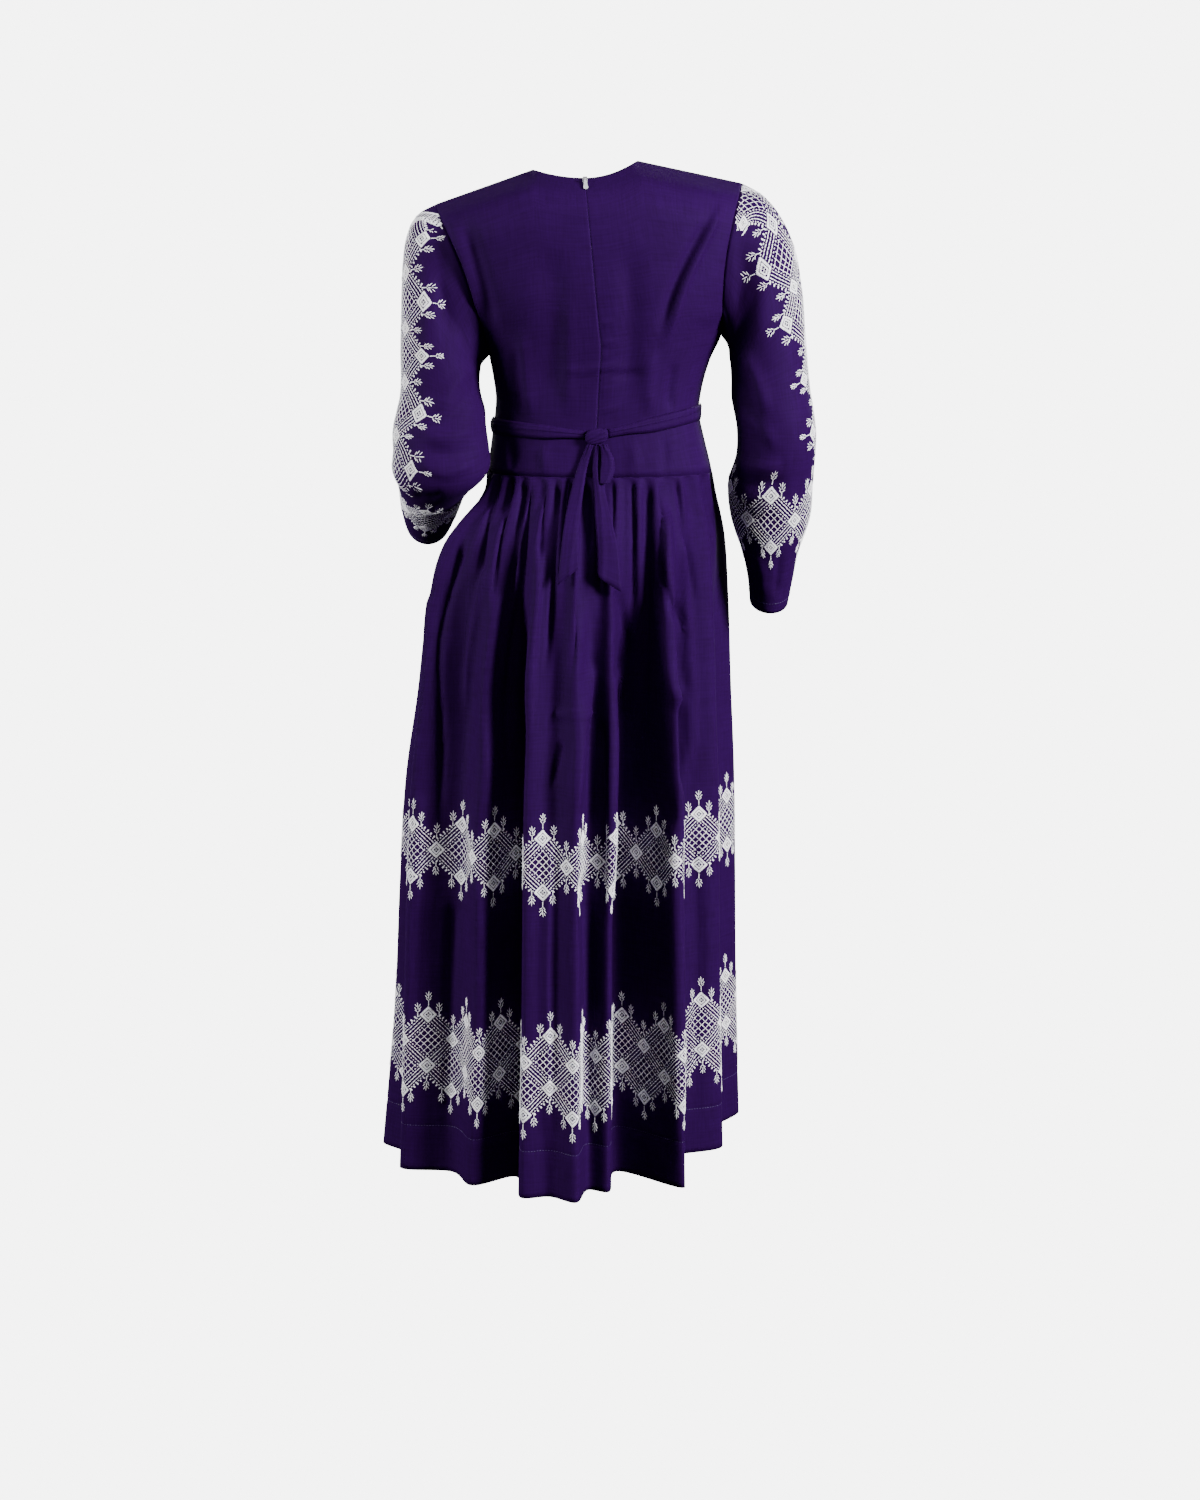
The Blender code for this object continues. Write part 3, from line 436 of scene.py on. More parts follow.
SKIRT_BACK_CREASES = [
    (4.5, -3.4, -125, -374, -139, -435, -150, -520),
    (4.0, -3.8, -107, -374, -122, -453, -132, -540),
    (4.0, -3.2, -91, -374, -104, -469, -112, -560),
    (6, -4.0, -84, -376, -96, -499, -112, -635, -115, -769),
    (4.0, -3.0, -67, -374, -72, -467, -77, -520),
    (4.5, -3.6, -51, -376, -60, -531, -68, -615),
    (3.6, -2.8, -36, -374, -41, -454, -44, -500),
    (6, -4.2, -16, -376, -22, -505, -39, -626),
    (5.0, -2.6, 15, -374, 17, -468, 16, -540),
    (4.6, -3.0, 39, -374, 41, -506, 39, -570),
    (7, -4.0, 59, -376, 53, -602, 47, -787),
    (4.6, -3.2, 75, -376, 79, -495, 102, -559, 112, -620),
    (4.6, -3.6, 93, -374, 110, -473, 118, -560),
    (7, -4.5, -166, -448, -201, -574, -199, -709, -205, -860),
    (8, 3.0, -214, -515, -236, -640, -243, -740),
    (6, 3.4, -140, -480, -160, -602, -167, -680),
    (8, 3.2, -125, -503, -141, -634, -141, -733, -146, -840),
    (6, 3.6, -71, -452, -83, -596, -87, -700),
    (3.5, 1.8, -54, -652, -30, -649, -4, -655),
    (5, -2.6, -48, -687, -56, -722, -63, -750),
    (8, 4.0, -10, -595, -25, -691, -30, -800),
    (6, -4.0, 0, -662, 4, -778, 2, -900),
    (4.5, -2.6, 21, -500, 33, -566, 34, -620),
    (7, 4.0, 23, -598, 13, -761, 14, -930),
    (7, 3.4, 79, -407, 85, -600, 105, -665, 112, -760),
    (7, 3.2, 98, -438, 116, -683, 99, -765, 98, -900),
    (9, 3.4, -60, -800, -66, -980, -62, -1250),
    (8, -3.0, -20, -840, -14, -1010, -18, -1250),
    (12, 3.0, 88, -780, 96, -960, 100, -1250),
    (7, -3.2, 120, -830, 126, -1000, 124, -1240),
    (9, 3.0, -222, -760, -236, -930, -246, -1200),
    (9, -3.0, -184, -900, -192, -1060, -196, -1250),
    (8, 2.6, -150, -860, -150, -1020, -158, -1240),
]
SKIRT_FRONT_CREASES = [
    (4.5, -3.4, -120, -374, -134, -450, -150, -540),
    (4.5, -3.0, -98, -374, -110, -460, -116, -560),
    (4.2, -3.6, -76, -374, -82, -480, -90, -590),
    (4.2, -2.8, -52, -374, -58, -450, -58, -520),
    (5, -3.8, -30, -374, -34, -500, -44, -640),
    (4.2, -2.6, -6, -374, -6, -460, -10, -540),
    (5, -3.6, 18, -374, 20, -500, 22, -620),
    (4.2, -3.0, 40, -374, 44, -450, 50, -530),
    (4.6, -3.4, 62, -374, 70, -480, 76, -600),
    (4.6, -3.2, 86, -374, 98, -450, 108, -560),
    (4.6, -3.0, 108, -374, 124, -440, 136, -520),
    (9, 3.6, -150, -560, -170, -720, -176, -900),
    (9, 3.4, -70, -600, -84, -760, -90, -980),
    (9, 3.8, 30, -620, 28, -800, 36, -1020),
    (9, 3.0, 96, -560, 110, -740, 120, -960),
    (9, -3.2, -20, -700, -30, -900, -34, -1240),
    (9, 3.0, -214, -800, -232, -980, -240, -1240),
    (8, -3.0, 70, -860, 74, -1040, 82, -1250),
    (8, 3.0, -130, -900, -134, -1080, -130, -1250),
]
SLEEVE_RIGHT_CREASES = [
    (8, -2.6, 160, -70, 168, -130, 158, -190),
    (12, 2.4, 182, -80, 196, -150, 190, -220),
    (8, 2.6, 166, -215, 188, -250, 205, -300),
    (7, -2.2, 168, -240, 186, -300, 206, -345),
    (8, 2.2, 168, -290, 196, -318, 222, -334),
    (7, 2.8, 168, -352, 190, -362, 224, -360),
    (6, -2.6, 166, -372, 196, -384, 232, -378),
    (6, 2.4, 164, -398, 184, -402, 214, -396),
    (8, -2.0, 170, -420, 196, -430, 226, -424),
    (6, 1.8, 190, -470, 204, -500, 206, -535),
    (6, -1.8, 226, -470, 224, -500, 222, -535),
]
SLEEVE_LEFT_CREASES = [
    (9, -2.6, -178, -90, -190, -150, -178, -210),
    (12, 2.2, -196, -120, -206, -180, -200, -250),
    (8, 2.4, -150, -235, -178, -262, -200, -300),
    (7, -2.0, -150, -262, -180, -300, -214, -316),
    (8, 2.4, -146, -308, -180, -322, -220, -322),
    (7, -2.4, -146, -336, -178, -344, -216, -336),
    (6, 2.6, -150, -352, -186, -366, -226, -352),
    (5, -1.8, -190, -386, -206, -398, -232, -396),
    (5, 1.6, -200, -410, -214, -424, -236, -424),
]


def line_distance(points, line):
    """Distance of each x, z point from a line through some points, and how far along it lies."""
    line = np.array(line, float)
    lengths = np.linalg.norm(np.diff(line, axis=0), axis=1)
    starts = np.concatenate([[0], np.cumsum(lengths)])
    best = np.full(len(points), np.inf)
    along = np.zeros(len(points))
    for a, b, length, start in zip(line[:-1], line[1:], lengths, starts):
        t = np.clip(((points - a) @ (b - a)) / length**2, 0, 1)
        distance = np.linalg.norm(points - (a + t[:, None] * (b - a)), axis=1)
        nearer = distance < best
        best = np.where(nearer, distance, best)
        along = np.where(nearer, (start + t * length) / starts[-1], along)
    return best, along


def crease_lifts(grid, creases, depth=1.6, sharpness=1.0, fade=0.28, first_fade=0.28):
    """How far each point of a grid is lifted by the creases, in metres."""
    points = grid.reshape(-1, 3)[:, [0, 2]] / MM
    lift = np.zeros(len(points))
    for half_width, height, *places in creases:
        line = curve_through(np.reshape(places, (-1, 2)))
        distance, along = line_distance(points, line)
        ends = ease(along / first_fade) * ease((1 - along) / fade)
        profile = np.exp(-((distance * sharpness / half_width) ** 2))
        lift += depth * height * MM * profile * ends
    return lift.reshape(grid.shape[:2])


def curve_through(line, steps=4):
    """A rounder line through the same points."""
    line = np.array(line, float)
    if len(line) < 3:
        return line
    grid = resample_rows(np.column_stack([line, np.zeros(len(line))])[:, None, :], steps)
    return grid[:, 0, :2]


def grid_normals(grid, closed=False):
    """Directions out of the cloth, away from the middle of each row."""
    if closed:
        across = np.roll(grid, -1, axis=1) - np.roll(grid, 1, axis=1)
    else:
        across = np.gradient(grid, axis=1)
    normals = np.cross(across, np.gradient(grid, axis=0))
    inside = grid.mean(axis=1)
    if not closed:
        inside[:, 1] = 0
    if np.sum(normals * (grid - inside[:, None])) < 0:
        normals = -normals
    return normals / np.maximum(np.linalg.norm(normals, axis=2, keepdims=True), 1e-12)


def at_grid(grid, row, column, closed=False):
    """Points of a grid at rows and columns that may be fractions."""
    rows, columns = grid.shape[:2]
    row = np.clip(np.asarray(row, float) + np.zeros_like(column, float), 0, rows - 1.0001)
    column = column % columns if closed else np.clip(column, 0, columns - 1.0001)
    i, j = row.astype(int), column.astype(int)
    f, g = (row - i)[:, None], (column - j)[:, None]
    k = (j + 1) % columns
    return (
        grid[i, j] * (1 - f) * (1 - g)
        + grid[i + 1, j] * f * (1 - g)
        + grid[i, k] * (1 - f) * g
        + grid[i + 1, k] * f * g
    )


# %% [markdown]
# ## Fine grids
#
# Extra columns and rows stand close to the seams, where the cloth dips into its stitching.

# %%
SEAM_DIP = 0.0004
SEAM_REACH = 0.0011
SEAM_EASE = 0.012
SIDE_EASE = 0.6
COLUMN_STEP = 0.25
FOLD_STEPS = 28
SKIRT_STEP = 0.0068
BODICE_STEPS = 7
SLEEVE_STEPS = 7
ARMHOLE_SPLIT = 6
HEM_STITCH_Z = HEM_Z + 0.060
BODICE_DEPTH = 2.5
BODICE_SHARPNESS = 1.2
SKIRT_DEPTH = 2.0
SKIRT_SHARPNESS = 1.35
SKIRT_FRONT_DEPTH = 1.1
SKIRT_FADES = (0.4, 0.06)
HEM_PUCKER = 0.0006
HEM_PUCKER_REACH = 0.0022


def seam_columns(seams):
    """Even columns from the first seam to the last, with two more on each side of every seam."""
    first, last = seams[0], seams[-1]
    columns = set(np.round(np.arange(first, last + COLUMN_STEP / 2, COLUMN_STEP), 5))
    for seam in seams:
        for away in (0.1, 0.22):
            columns |= {round(seam - away, 5), round(seam + away, 5)}
    return np.array(sorted(c for c in columns if first <= c <= last))


def seam_dip(grid, edge_rows=(), edge_columns=()):
    """Lowers the cloth where it meets a seam, given as rows or columns of the grid."""
    dip = np.zeros(grid.shape[:2])
    for edge in [grid[row] for row in edge_rows] + [grid[:, [column]] for column in edge_columns]:
        distance = np.linalg.norm(grid - edge, axis=2)
        dip = np.maximum(dip, np.exp(-((distance / SEAM_REACH) ** 2)))
    return dip * SEAM_DIP


def edge_fade(columns):
    """0 at the side seams and armholes and 1 a little inside them."""
    return ease((COLUMNS_PER_HALF - np.abs(columns)) / SIDE_EASE)


bodice_columns = seam_columns([-COLUMNS_PER_HALF, 0, COLUMNS_PER_HALF])
centre_column = int(np.argmin(np.abs(bodice_columns)))
bodice = {}
for name, creases in (("back", BACK_CREASES), ("front", FRONT_CREASES)):
    smooth_grid = resample_rows(bodice_grid(name == "front", bodice_columns), BODICE_STEPS)
    normals = grid_normals(smooth_grid)
    height = smooth_grid[:, :, 2] - PLEAT_SEAM_Z
    lift = crease_lifts(smooth_grid, creases, BODICE_DEPTH, BODICE_SHARPNESS)
    lift *= edge_fade(bodice_columns) * ease(height / SEAM_EASE)
    seams = [0, len(bodice_columns) - 1] + ([centre_column] if name == "back" else [])
    lift -= seam_dip(smooth_grid, [0], seams)
    bodice[name] = smooth_grid + normals * lift[:, :, None]
    print(name, "bodice grid", bodice[name].shape)

# %% [markdown]
# The skirt's hem is turned up and held by a line of stitching, which pulls the cloth in a little.

# %%
skirt_places = np.arange(0, len(FOLDS), 1 / FOLD_STEPS)
right_seam = RIGHT_SEAM_FOLD * FOLD_STEPS
skirt_heights = np.concatenate([
    [PLEAT_SEAM_Z, PLEAT_SEAM_Z - 0.0015, PLEAT_SEAM_Z - 0.0035],
    np.arange(PLEAT_SEAM_Z - 0.0075, HEM_STITCH_Z + 0.004, -SKIRT_STEP),
    HEM_STITCH_Z + np.array([0.002, 0.0, -0.002]),
    np.arange(HEM_STITCH_Z - 0.0055, HEM_Z + 0.004, -SKIRT_STEP),
    [HEM_Z],
])
skirt = np.array([
    np.column_stack([skirt_ring(z, skirt_places), np.full(len(skirt_places), z)]) for z in skirt_heights
])
skirt_normals = grid_normals(skirt, closed=True)
on_back = ease((RIGHT_SEAM_FOLD / 2 - np.abs(skirt_places - RIGHT_SEAM_FOLD / 2)) / 0.4)
middle_front = (RIGHT_SEAM_FOLD + len(FOLDS)) / 2
on_front = ease((RIGHT_SEAM_FOLD / 2 - np.abs(skirt_places - middle_front)) / 0.4)
skirt_lift = crease_lifts(skirt, SKIRT_BACK_CREASES, SKIRT_DEPTH, SKIRT_SHARPNESS, *SKIRT_FADES) * on_back
skirt_lift += crease_lifts(skirt, SKIRT_FRONT_CREASES, SKIRT_FRONT_DEPTH, 1.0, *SKIRT_FADES) * on_front
from_seam = PLEAT_SEAM_Z - skirt[:, :, 2]
skirt_lift *= ease(from_seam / SEAM_EASE)
skirt_lift -= SEAM_DIP * np.exp(-((from_seam / SEAM_REACH) ** 2))
skirt_lift -= HEM_PUCKER * np.exp(-(((skirt[:, :, 2] - HEM_STITCH_Z) / HEM_PUCKER_REACH) ** 2))
skirt = skirt + skirt_normals * skirt_lift[:, :, None]
print("skirt grid", skirt.shape)

# %% [markdown]
# The sleeves start from the same armhole as the bodice, column by column.

# %%
def armhole(side):
    """Points round an armhole: up the back from its top, then the front, as the sleeve's columns."""
    column = np.array([side * COLUMNS_PER_HALF], float)
    back = resample_rows(bodice_grid(False, column), ARMHOLE_SPLIT)[:, 0]
    front = resample_rows(bodice_grid(True, column), ARMHOLE_SPLIT)[:, 0]
    first = (len(back) - 1) - ARMHOLE_ROWS * ARMHOLE_SPLIT
    return np.concatenate([back[:first:-1], front[first:-1]])


sleeves = {}
for name, side, sections, creases in (
    ("right", 1, SLEEVE_RIGHT, SLEEVE_RIGHT_CREASES),
    ("left", -1, SLEEVE_LEFT, SLEEVE_LEFT_CREASES),
):
    smooth_grid = resample_rows(sleeve_grid(armhole(side), sections, side), SLEEVE_STEPS)
    normals = grid_normals(smooth_grid, closed=True)
    rows = len(smooth_grid)
    start = ease(np.arange(rows) / (SLEEVE_STEPS * 1.5))[:, None]
    facing_back = 0.35 + 0.65 * ease(0.5 - normals[:, :, 1])
    lift = crease_lifts(smooth_grid, creases) * start * facing_back - seam_dip(smooth_grid, [0])
    sleeves[name] = smooth_grid + normals * lift[:, :, None]
    print(name, "sleeve grid", sleeves[name].shape)

# %% [markdown]
# ## Materials
#
# Small helpers add a node with its settings and links, so that each material reads from top to
# bottom. The cloth is a plain-weave viscose with thicker yarns here and there.

# %%
def srgb(text):
    """A linear colour from an sRGB hex code."""
    parts = [int(text[i : i + 2], 16) / 255 for i in (0, 2, 4)]
    return tuple(c / 12.92 if c <= 0.04045 else ((c + 0.055) / 1.055) ** 2.4 for c in parts) + (1.0,)


def new_material(name):
    material = bpy.data.materials.new(name)
    material.use_nodes = True
    return material, material.node_tree, material.node_tree.nodes["Principled BSDF"]


def add_node(tree, kind, settings=None, values=None, links=None):
    """Adds a node, sets its properties and socket values, and links sockets into it."""
    node = tree.nodes.new(kind)
    for key, value in (settings or {}).items():
        setattr(node, key, value)
    for key, value in (values or {}).items():
        node.inputs[key].default_value = value
    for key, socket in (links or {}).items():
        tree.links.new(socket, node.inputs[key])
    return node


def set_values(node, **values):
    for key, value in values.items():
        node.inputs[key.replace("_", " ")].default_value = value


def object_place(tree):
    return add_node(tree, "ShaderNodeTexCoord").outputs["Object"]


def add_noise(tree, place, scale, **values):
    values["Scale"] = scale
    return add_node(tree, "ShaderNodeTexNoise", values=values, links={"Vector": place}).outputs["Fac"]


def add_bump(tree, height, strength, distance, **under):
    """Raises the surface by a height, on top of another bump where Normal gives one."""
    values = {"Strength": strength, "Distance": distance}
    return add_node(tree, "ShaderNodeBump", values=values, links={"Height": height, **under}).outputs[0]


def two_tones(tree, share, dark, light, ends=(0.0, 1.0)):
    """A colour that goes from dark to light as the share goes from one end to the other."""
    ramp = add_node(tree, "ShaderNodeValToRGB", links={"Fac": share})
    for element, position, tone in zip(ramp.color_ramp.elements, ends, (dark, light)):
        element.position = position
        element.color = srgb(tone)
    return ramp.outputs[0]


YARNS = [(520, 28, 1), (26, 430, 1)]


def viscose(name, deep, light):
    """Soft woven cloth. The UV map is in metres, across and along the yarns."""
    material, tree, shader = new_material(name)
    uv = add_node(tree, "ShaderNodeUVMap", {"uv_map": "cloth"}).outputs[0]
    slubs = {}
    for number, scale in enumerate(YARNS):
        drawn_out = add_node(tree, "ShaderNodeMapping", values={"Scale": scale}, links={"Vector": uv})
        slubs[number] = add_noise(tree, drawn_out.outputs[0], 1.0, Detail=2.0, Roughness=0.5)
    slubs = add_node(tree, "ShaderNodeMath", {"operation": "ADD"}, links=slubs).outputs[0]
    patches = add_noise(tree, uv, 9.0, Detail=3.0, Roughness=0.55)
    shade = add_node(tree, "ShaderNodeMath", {"operation": "MULTIPLY_ADD"}, {1: 0.35}, {0: patches, 2: slubs})
    contrast = add_node(
        tree, "ShaderNodeMapRange", values={"From Min": 0.57, "From Max": 1.77},
        links={"Value": shade.outputs[0]},
    )
    tone = two_tones(tree, contrast.outputs[0], deep, light)
    tree.links.new(tone, shader.inputs["Base Color"])
    set_values(shader, Roughness=0.75, Specular_IOR_Level=0.04)
    set_values(shader, Sheen_Weight=0.015, Sheen_Roughness=0.4, Sheen_Tint=srgb("7a4fb0"))
    fine = add_bump(tree, slubs, 0.2, 0.0002)
    ripples = add_noise(tree, uv, 22.0, Detail=4.0, Roughness=0.5, Distortion=0.6)
    tree.links.new(add_bump(tree, ripples, 0.30, 0.004, Normal=fine), shader.inputs["Normal"])
    return material


def thread(name, dark, light):
    """Shiny cotton thread: brighter and darker strands, all a little rough."""
    material, tree, shader = new_material(name)
    strands = add_noise(tree, object_place(tree), 260.0, Detail=2.0)
    tree.links.new(two_tones(tree, strands, dark, light, (0.3, 0.7)), shader.inputs["Base Color"])
    tree.links.new(add_bump(tree, strands, 0.3, 0.0003), shader.inputs["Normal"])
    set_values(shader, Roughness=0.55, Sheen_Weight=0.2)
    return material


def plated_metal(name):
    """Grey plating, worn a little smoother here and there."""
    material, tree, shader = new_material(name)
    wear = add_noise(tree, object_place(tree), 600.0, Detail=3.0)
    span = {"To Min": 0.35, "To Max": 0.5}
    rough = add_node(tree, "ShaderNodeMapRange", values=span, links={"Value": wear})
    tree.links.new(rough.outputs[0], shader.inputs["Roughness"])
    set_values(shader, Base_Color=srgb("d2d0d6"), Metallic=0.85)
    return material


def nylon_coil(name):
    """The teeth of the zip: fine bands across the tape."""
    material, tree, shader = new_material(name)
    teeth = add_node(
        tree, "ShaderNodeTexWave", {"wave_type": "BANDS", "bands_direction": "Z"}, {"Scale": 260.0},
        {"Vector": object_place(tree)},
    )
    tree.links.new(add_bump(tree, teeth.outputs["Fac"], 0.8, 0.0005), shader.inputs["Normal"])
    set_values(shader, Base_Color=srgb("1d0d38"), Roughness=0.5)
    return material


purple = viscose("viscose_royal_purple", "1b002d", "250140")
purple_thread = thread("sewing_thread_purple", "1c0a3c", "34165f")
white_thread = thread("embroidery_thread_white", "efebf7", "ffffff")
metal = plated_metal("zinc_plated_dark")
coil = nylon_coil("nylon_coil_purple")
print("materials:", [m.name for m in (purple, purple_thread, white_thread, metal, coil)])

# %% [markdown]
# ## Cloth sheets
#
# Each grid becomes a mesh with a UV map in metres, and a Solidify modifier gives it two sides.

# %%
def add_object(name, data):
    added = bpy.data.objects.new(name, data)
    bpy.context.scene.collection.objects.link(added)
    return added


def grid_mesh(name, grid, closed, thickness=CLOTH):
    """A sheet of cloth from a grid of points, thickened inwards."""
    rows, columns = grid.shape[:2]
    spans = columns if closed else columns - 1
    row = np.arange(rows - 1)[:, None]
    column = np.arange(spans)[None, :]
    after = (column + 1) % columns
    corners = [(row, column), (row, after), (row + 1, after), (row + 1, column)]
    faces = np.stack([(i * columns + j).ravel() for i, j in corners], 1)
    mesh = bpy.data.meshes.new(name)
    mesh.from_pydata(grid.reshape(-1, 3).tolist(), [], faces.tolist())
    around = np.linalg.norm(np.diff(grid, axis=1, append=grid[:, :1]), axis=2).mean(axis=0)
    u = np.concatenate([[0], np.cumsum(around)])
    v = np.concatenate([[0], np.cumsum(np.linalg.norm(np.diff(grid, axis=0), axis=2).mean(axis=1))])
    uv = np.stack([
        np.stack([u[column + dj] + 0 * row, v[row + di] + 0 * column], -1).reshape(-1, 2)
        for di, dj in ((0, 0), (0, 1), (1, 1), (1, 0))
    ], 1)
    layer = mesh.uv_layers.new(name="cloth")
    layer.data.foreach_set("uv", uv.ravel())
    sheet = add_object(name, mesh)
    mesh.materials.append(purple)
    outward = grid_normals(grid, closed)[rows // 2, columns // 4]
    face = mesh.polygons[(rows // 2) * spans + columns // 4]
    if Vector(outward).dot(face.normal) < 0:
        mesh.flip_normals()
    mesh.shade_smooth()
    modifier = sheet.modifiers.new("solidify", "SOLIDIFY")
    modifier.thickness = thickness
    modifier.offset = -1.0
    keep_result(sheet)
    return sheet


def keep_result(obj):
    """Keeps what the modifiers make as the object's own mesh and takes them off."""
    graph = bpy.context.evaluated_depsgraph_get()
    result = bpy.data.meshes.new_from_object(obj.evaluated_get(graph))
    result.name = obj.name
    obj.modifiers.clear()
    obj.data = result


def triangles(obj):
    return sum(len(p.vertices) - 2 for p in obj.data.polygons)


def dress(piece, node):
    """Puts a piece of cloth in the place of one of the part's nodes."""
    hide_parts(node)
    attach(piece, "dress")
    print(node, "is dressed:", triangles(piece), "triangles")
    return piece


def lay_sheet(node, grid, closed=False, thickness=CLOTH):
    """A sheet of cloth in the place of a node."""
    dress(grid_mesh(node + "_cloth", grid, closed, thickness), node)


# Each sheet: its grid of points and whether the grid closes round into a ring
sheets = {
    "bodice_front": (bodice["front"], False),
    "bodice_back_left": (bodice["back"][:, : centre_column + 1], False),
    "bodice_back_right": (bodice["back"][:, centre_column:], False),
    "sleeve_right": (sleeves["right"], True),
    "sleeve_left": (sleeves["left"], True),
    "skirt_back": (skirt[:, : right_seam + 1], False),
    "skirt_front": (np.concatenate([skirt[:, right_seam:], skirt[:, :1]], axis=1), False),
}
for name, (grid, closed) in sheets.items():
    lay_sheet(name, grid, closed)

# %% [markdown]
# ## The tie, the knot and the zip
#
# The tie lies on the back of the bodice between the two rows of points that edge it.

# %%
TIE_EDGE_LIFT = 0.0013
TIE_CROWN = 0.0030
TIE_SHEET = 0.0009
TIE_LINES_ACROSS = 11


def tie_grid(side):
    """A soft strip from the side seam to the knot, a little gathered at the knot."""
    columns = np.arange(len(bodice_columns))
    columns = columns[columns <= centre_column] if side < 0 else columns[columns >= centre_column]
    row_low, row_high = BODICE_STEPS, 2 * BODICE_STEPS
    middle_x = bodice["back"][(row_low + row_high) // 2, columns, 0]
    end = KNOT_X + side * (KNOT_HALF - 0.0010)
    inside = columns[(middle_x - end) * side > 0.001]
    stop = np.interp(end, middle_x, columns)
    stops = np.concatenate([inside, [stop]]) if side < 0 else np.concatenate([[stop], inside])
    along = np.abs(stops - stop) / np.abs(stops - stop).max()
    grid = []
    for v in np.linspace(-1, 1, TIE_LINES_ACROSS):
        width = 0.85 + 0.30 * ease(along / 0.3)
        row = row_low + (row_high - row_low) * (0.5 + 0.5 * v * width)
        points = at_grid(bodice["back"], row, stops)
        out = at_grid(bodice_back_normals, row, stops)
        pleats = 0.5 * np.sin(7.5 * v + 2.2 * along) + 0.35 * np.sin(13 * v - 5 * along)
        lift = TIE_EDGE_LIFT + TIE_CROWN * (1 - v**4) + 0.0011 * pleats * (1 - 0.5 * along) * (1 - v**6)
        grid.append(points + out * lift[:, None])
    return np.array(grid)


bodice_back_normals = grid_normals(bodice["back"])
for name, side in (("tie_left", -1), ("tie_right", 1)):
    lay_sheet(name, tie_grid(side), thickness=TIE_SHEET)

# %% [markdown]
# The free ends hang in front of whatever cloth comes nearest behind them.

# %%
TAIL_LINES_ACROSS = 11
TAIL_FRONT = 0.0015
TAIL_CROWN = 0.0015


def back_surface(x, z):
    """Nearest y to the viewer of the cloth behind a hanging strip."""
    if z > PLEAT_SEAM_Z - 0.004:
        over_tie = 0.0025 if abs(z - tie_height(x)) < TIE_WIDTH else 0.0
        return float(middle_y(z) - body_depth(x, max(z, PLEAT_SEAM_Z), False)) - over_tie
    ring = skirt_ring(z, np.linspace(1, 8, 141))
    return float(ring[np.abs(ring[:, 0] - x) < TAIL_REACH, 1].min())


def strip_grid(path, lift, slant, ridge, rows=34):
    """A strip of cloth down a path, with a lengthwise fold at ridge, from -1 to 1 across."""
    rough = []
    lowest = len(path) - 1
    for i, (x, z, half_width, twist) in enumerate(path):
        y = min(back_surface(x + side * half_width, z) for side in (-1, 0, 1)) - lift - TAIL_FRONT
        turn = math.radians(twist)
        left = np.array([x - half_width * math.cos(turn), y - half_width * abs(math.sin(turn)), z])
        right = np.array([x + half_width * math.cos(turn), y, z])
        if twist < 0:
            left[1], right[1] = right[1], left[1]
        if i == lowest:
            left[2] += slant
            right[2] -= slant
        rough.append([left, right])
    rough = resample_rows(np.array(rough), max(2, rows // lowest))
    down = np.linspace(0, 1, len(rough))[:, None]
    v = np.linspace(-1, 1, TAIL_LINES_ACROSS)[None, :]
    grid = rough[:, :1] * (1 - (v[..., None] + 1) / 2) + rough[:, 1:] * (v[..., None] + 1) / 2
    fold = 0.0016 * np.exp(-(((v - ridge - 0.25 * np.sin(4 * down)) / 0.22) ** 2)) * ease(down / 0.2)
    gather = 0.0007 * np.sin(9 * v + 1.3) * (1 - ease(down / 0.35))
    grid[:, :, 1] -= TAIL_CROWN * (1 - v**2) + fold + gather
    return grid


for name, path, lift, slant, ridge in (
    ("tie_tail_right", TAIL_RIGHT, TAIL_LIFT, TAIL_SLANT, -0.35),
    ("tie_tail_left", TAIL_LEFT, TAIL_LIFT, -TAIL_SLANT, 0.30),
    ("tie_loop", LOOP, LOOP_LIFT, 0.0, 0.20),
):
    lay_sheet(name, strip_grid(path, lift, slant, ridge))

# %% [markdown]
# The knot is a small pillow whose wraps run slantwise round it.

# %%
KNOT_LEAN = 0.0022
KNOT_SQUARE = 0.72
# The grooves between the wraps: depth, lean, height and width, in shares of the knot's half size
KNOT_GROOVES = [(0.30, 0.5, -0.15, 0.16), (0.22, 0.7, 0.50, 0.13), (0.18, 0.2, -0.62, 0.12)]


def knot_mesh(name):
    builder = bmesh.new()
    bmesh.ops.create_uvsphere(builder, u_segments=48, v_segments=32, radius=1.0)
    z = float(tie_height(KNOT_X))
    cloth_y = float(middle_y(z) - body_depth(KNOT_X, z, False))
    for vert in builder.verts:
        across, out, up = (math.copysign(abs(c) ** KNOT_SQUARE, c) for c in vert.co)
        wrap = 1
        for depth, lean, height, width in KNOT_GROOVES:
            wrap -= depth * math.exp(-(((up - lean * across - height) / width) ** 2))
        vert.co.x = KNOT_X + across * KNOT_HALF
        vert.co.y = cloth_y - KNOT_LIFT + out * KNOT_HALF_DEPTH * (wrap if out < 0 else 1)
        vert.co.z = z + up * KNOT_HALF_HEIGHT * (0.6 + 0.5 * wrap) + across * KNOT_LEAN
    uv_layer = builder.loops.layers.uv.new("cloth")
    for face in builder.faces:
        for loop in face.loops:
            loop[uv_layer].uv = (loop.vert.co.x, loop.vert.co.z)
    mesh = bpy.data.meshes.new(name)
    builder.to_mesh(mesh)
    builder.free()
    mesh.materials.append(purple)
    mesh.shade_smooth()
    return add_object(name, mesh)


dress(knot_mesh("tie_knot_cloth"), "tie_knot")
for node, material in (("zip_chain", coil), ("zip_slider", metal), ("zip_pull_tab", metal)):
    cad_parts[node].data.materials.clear()
    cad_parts[node].data.materials.append(material)
print("the zip nodes keep their shapes")

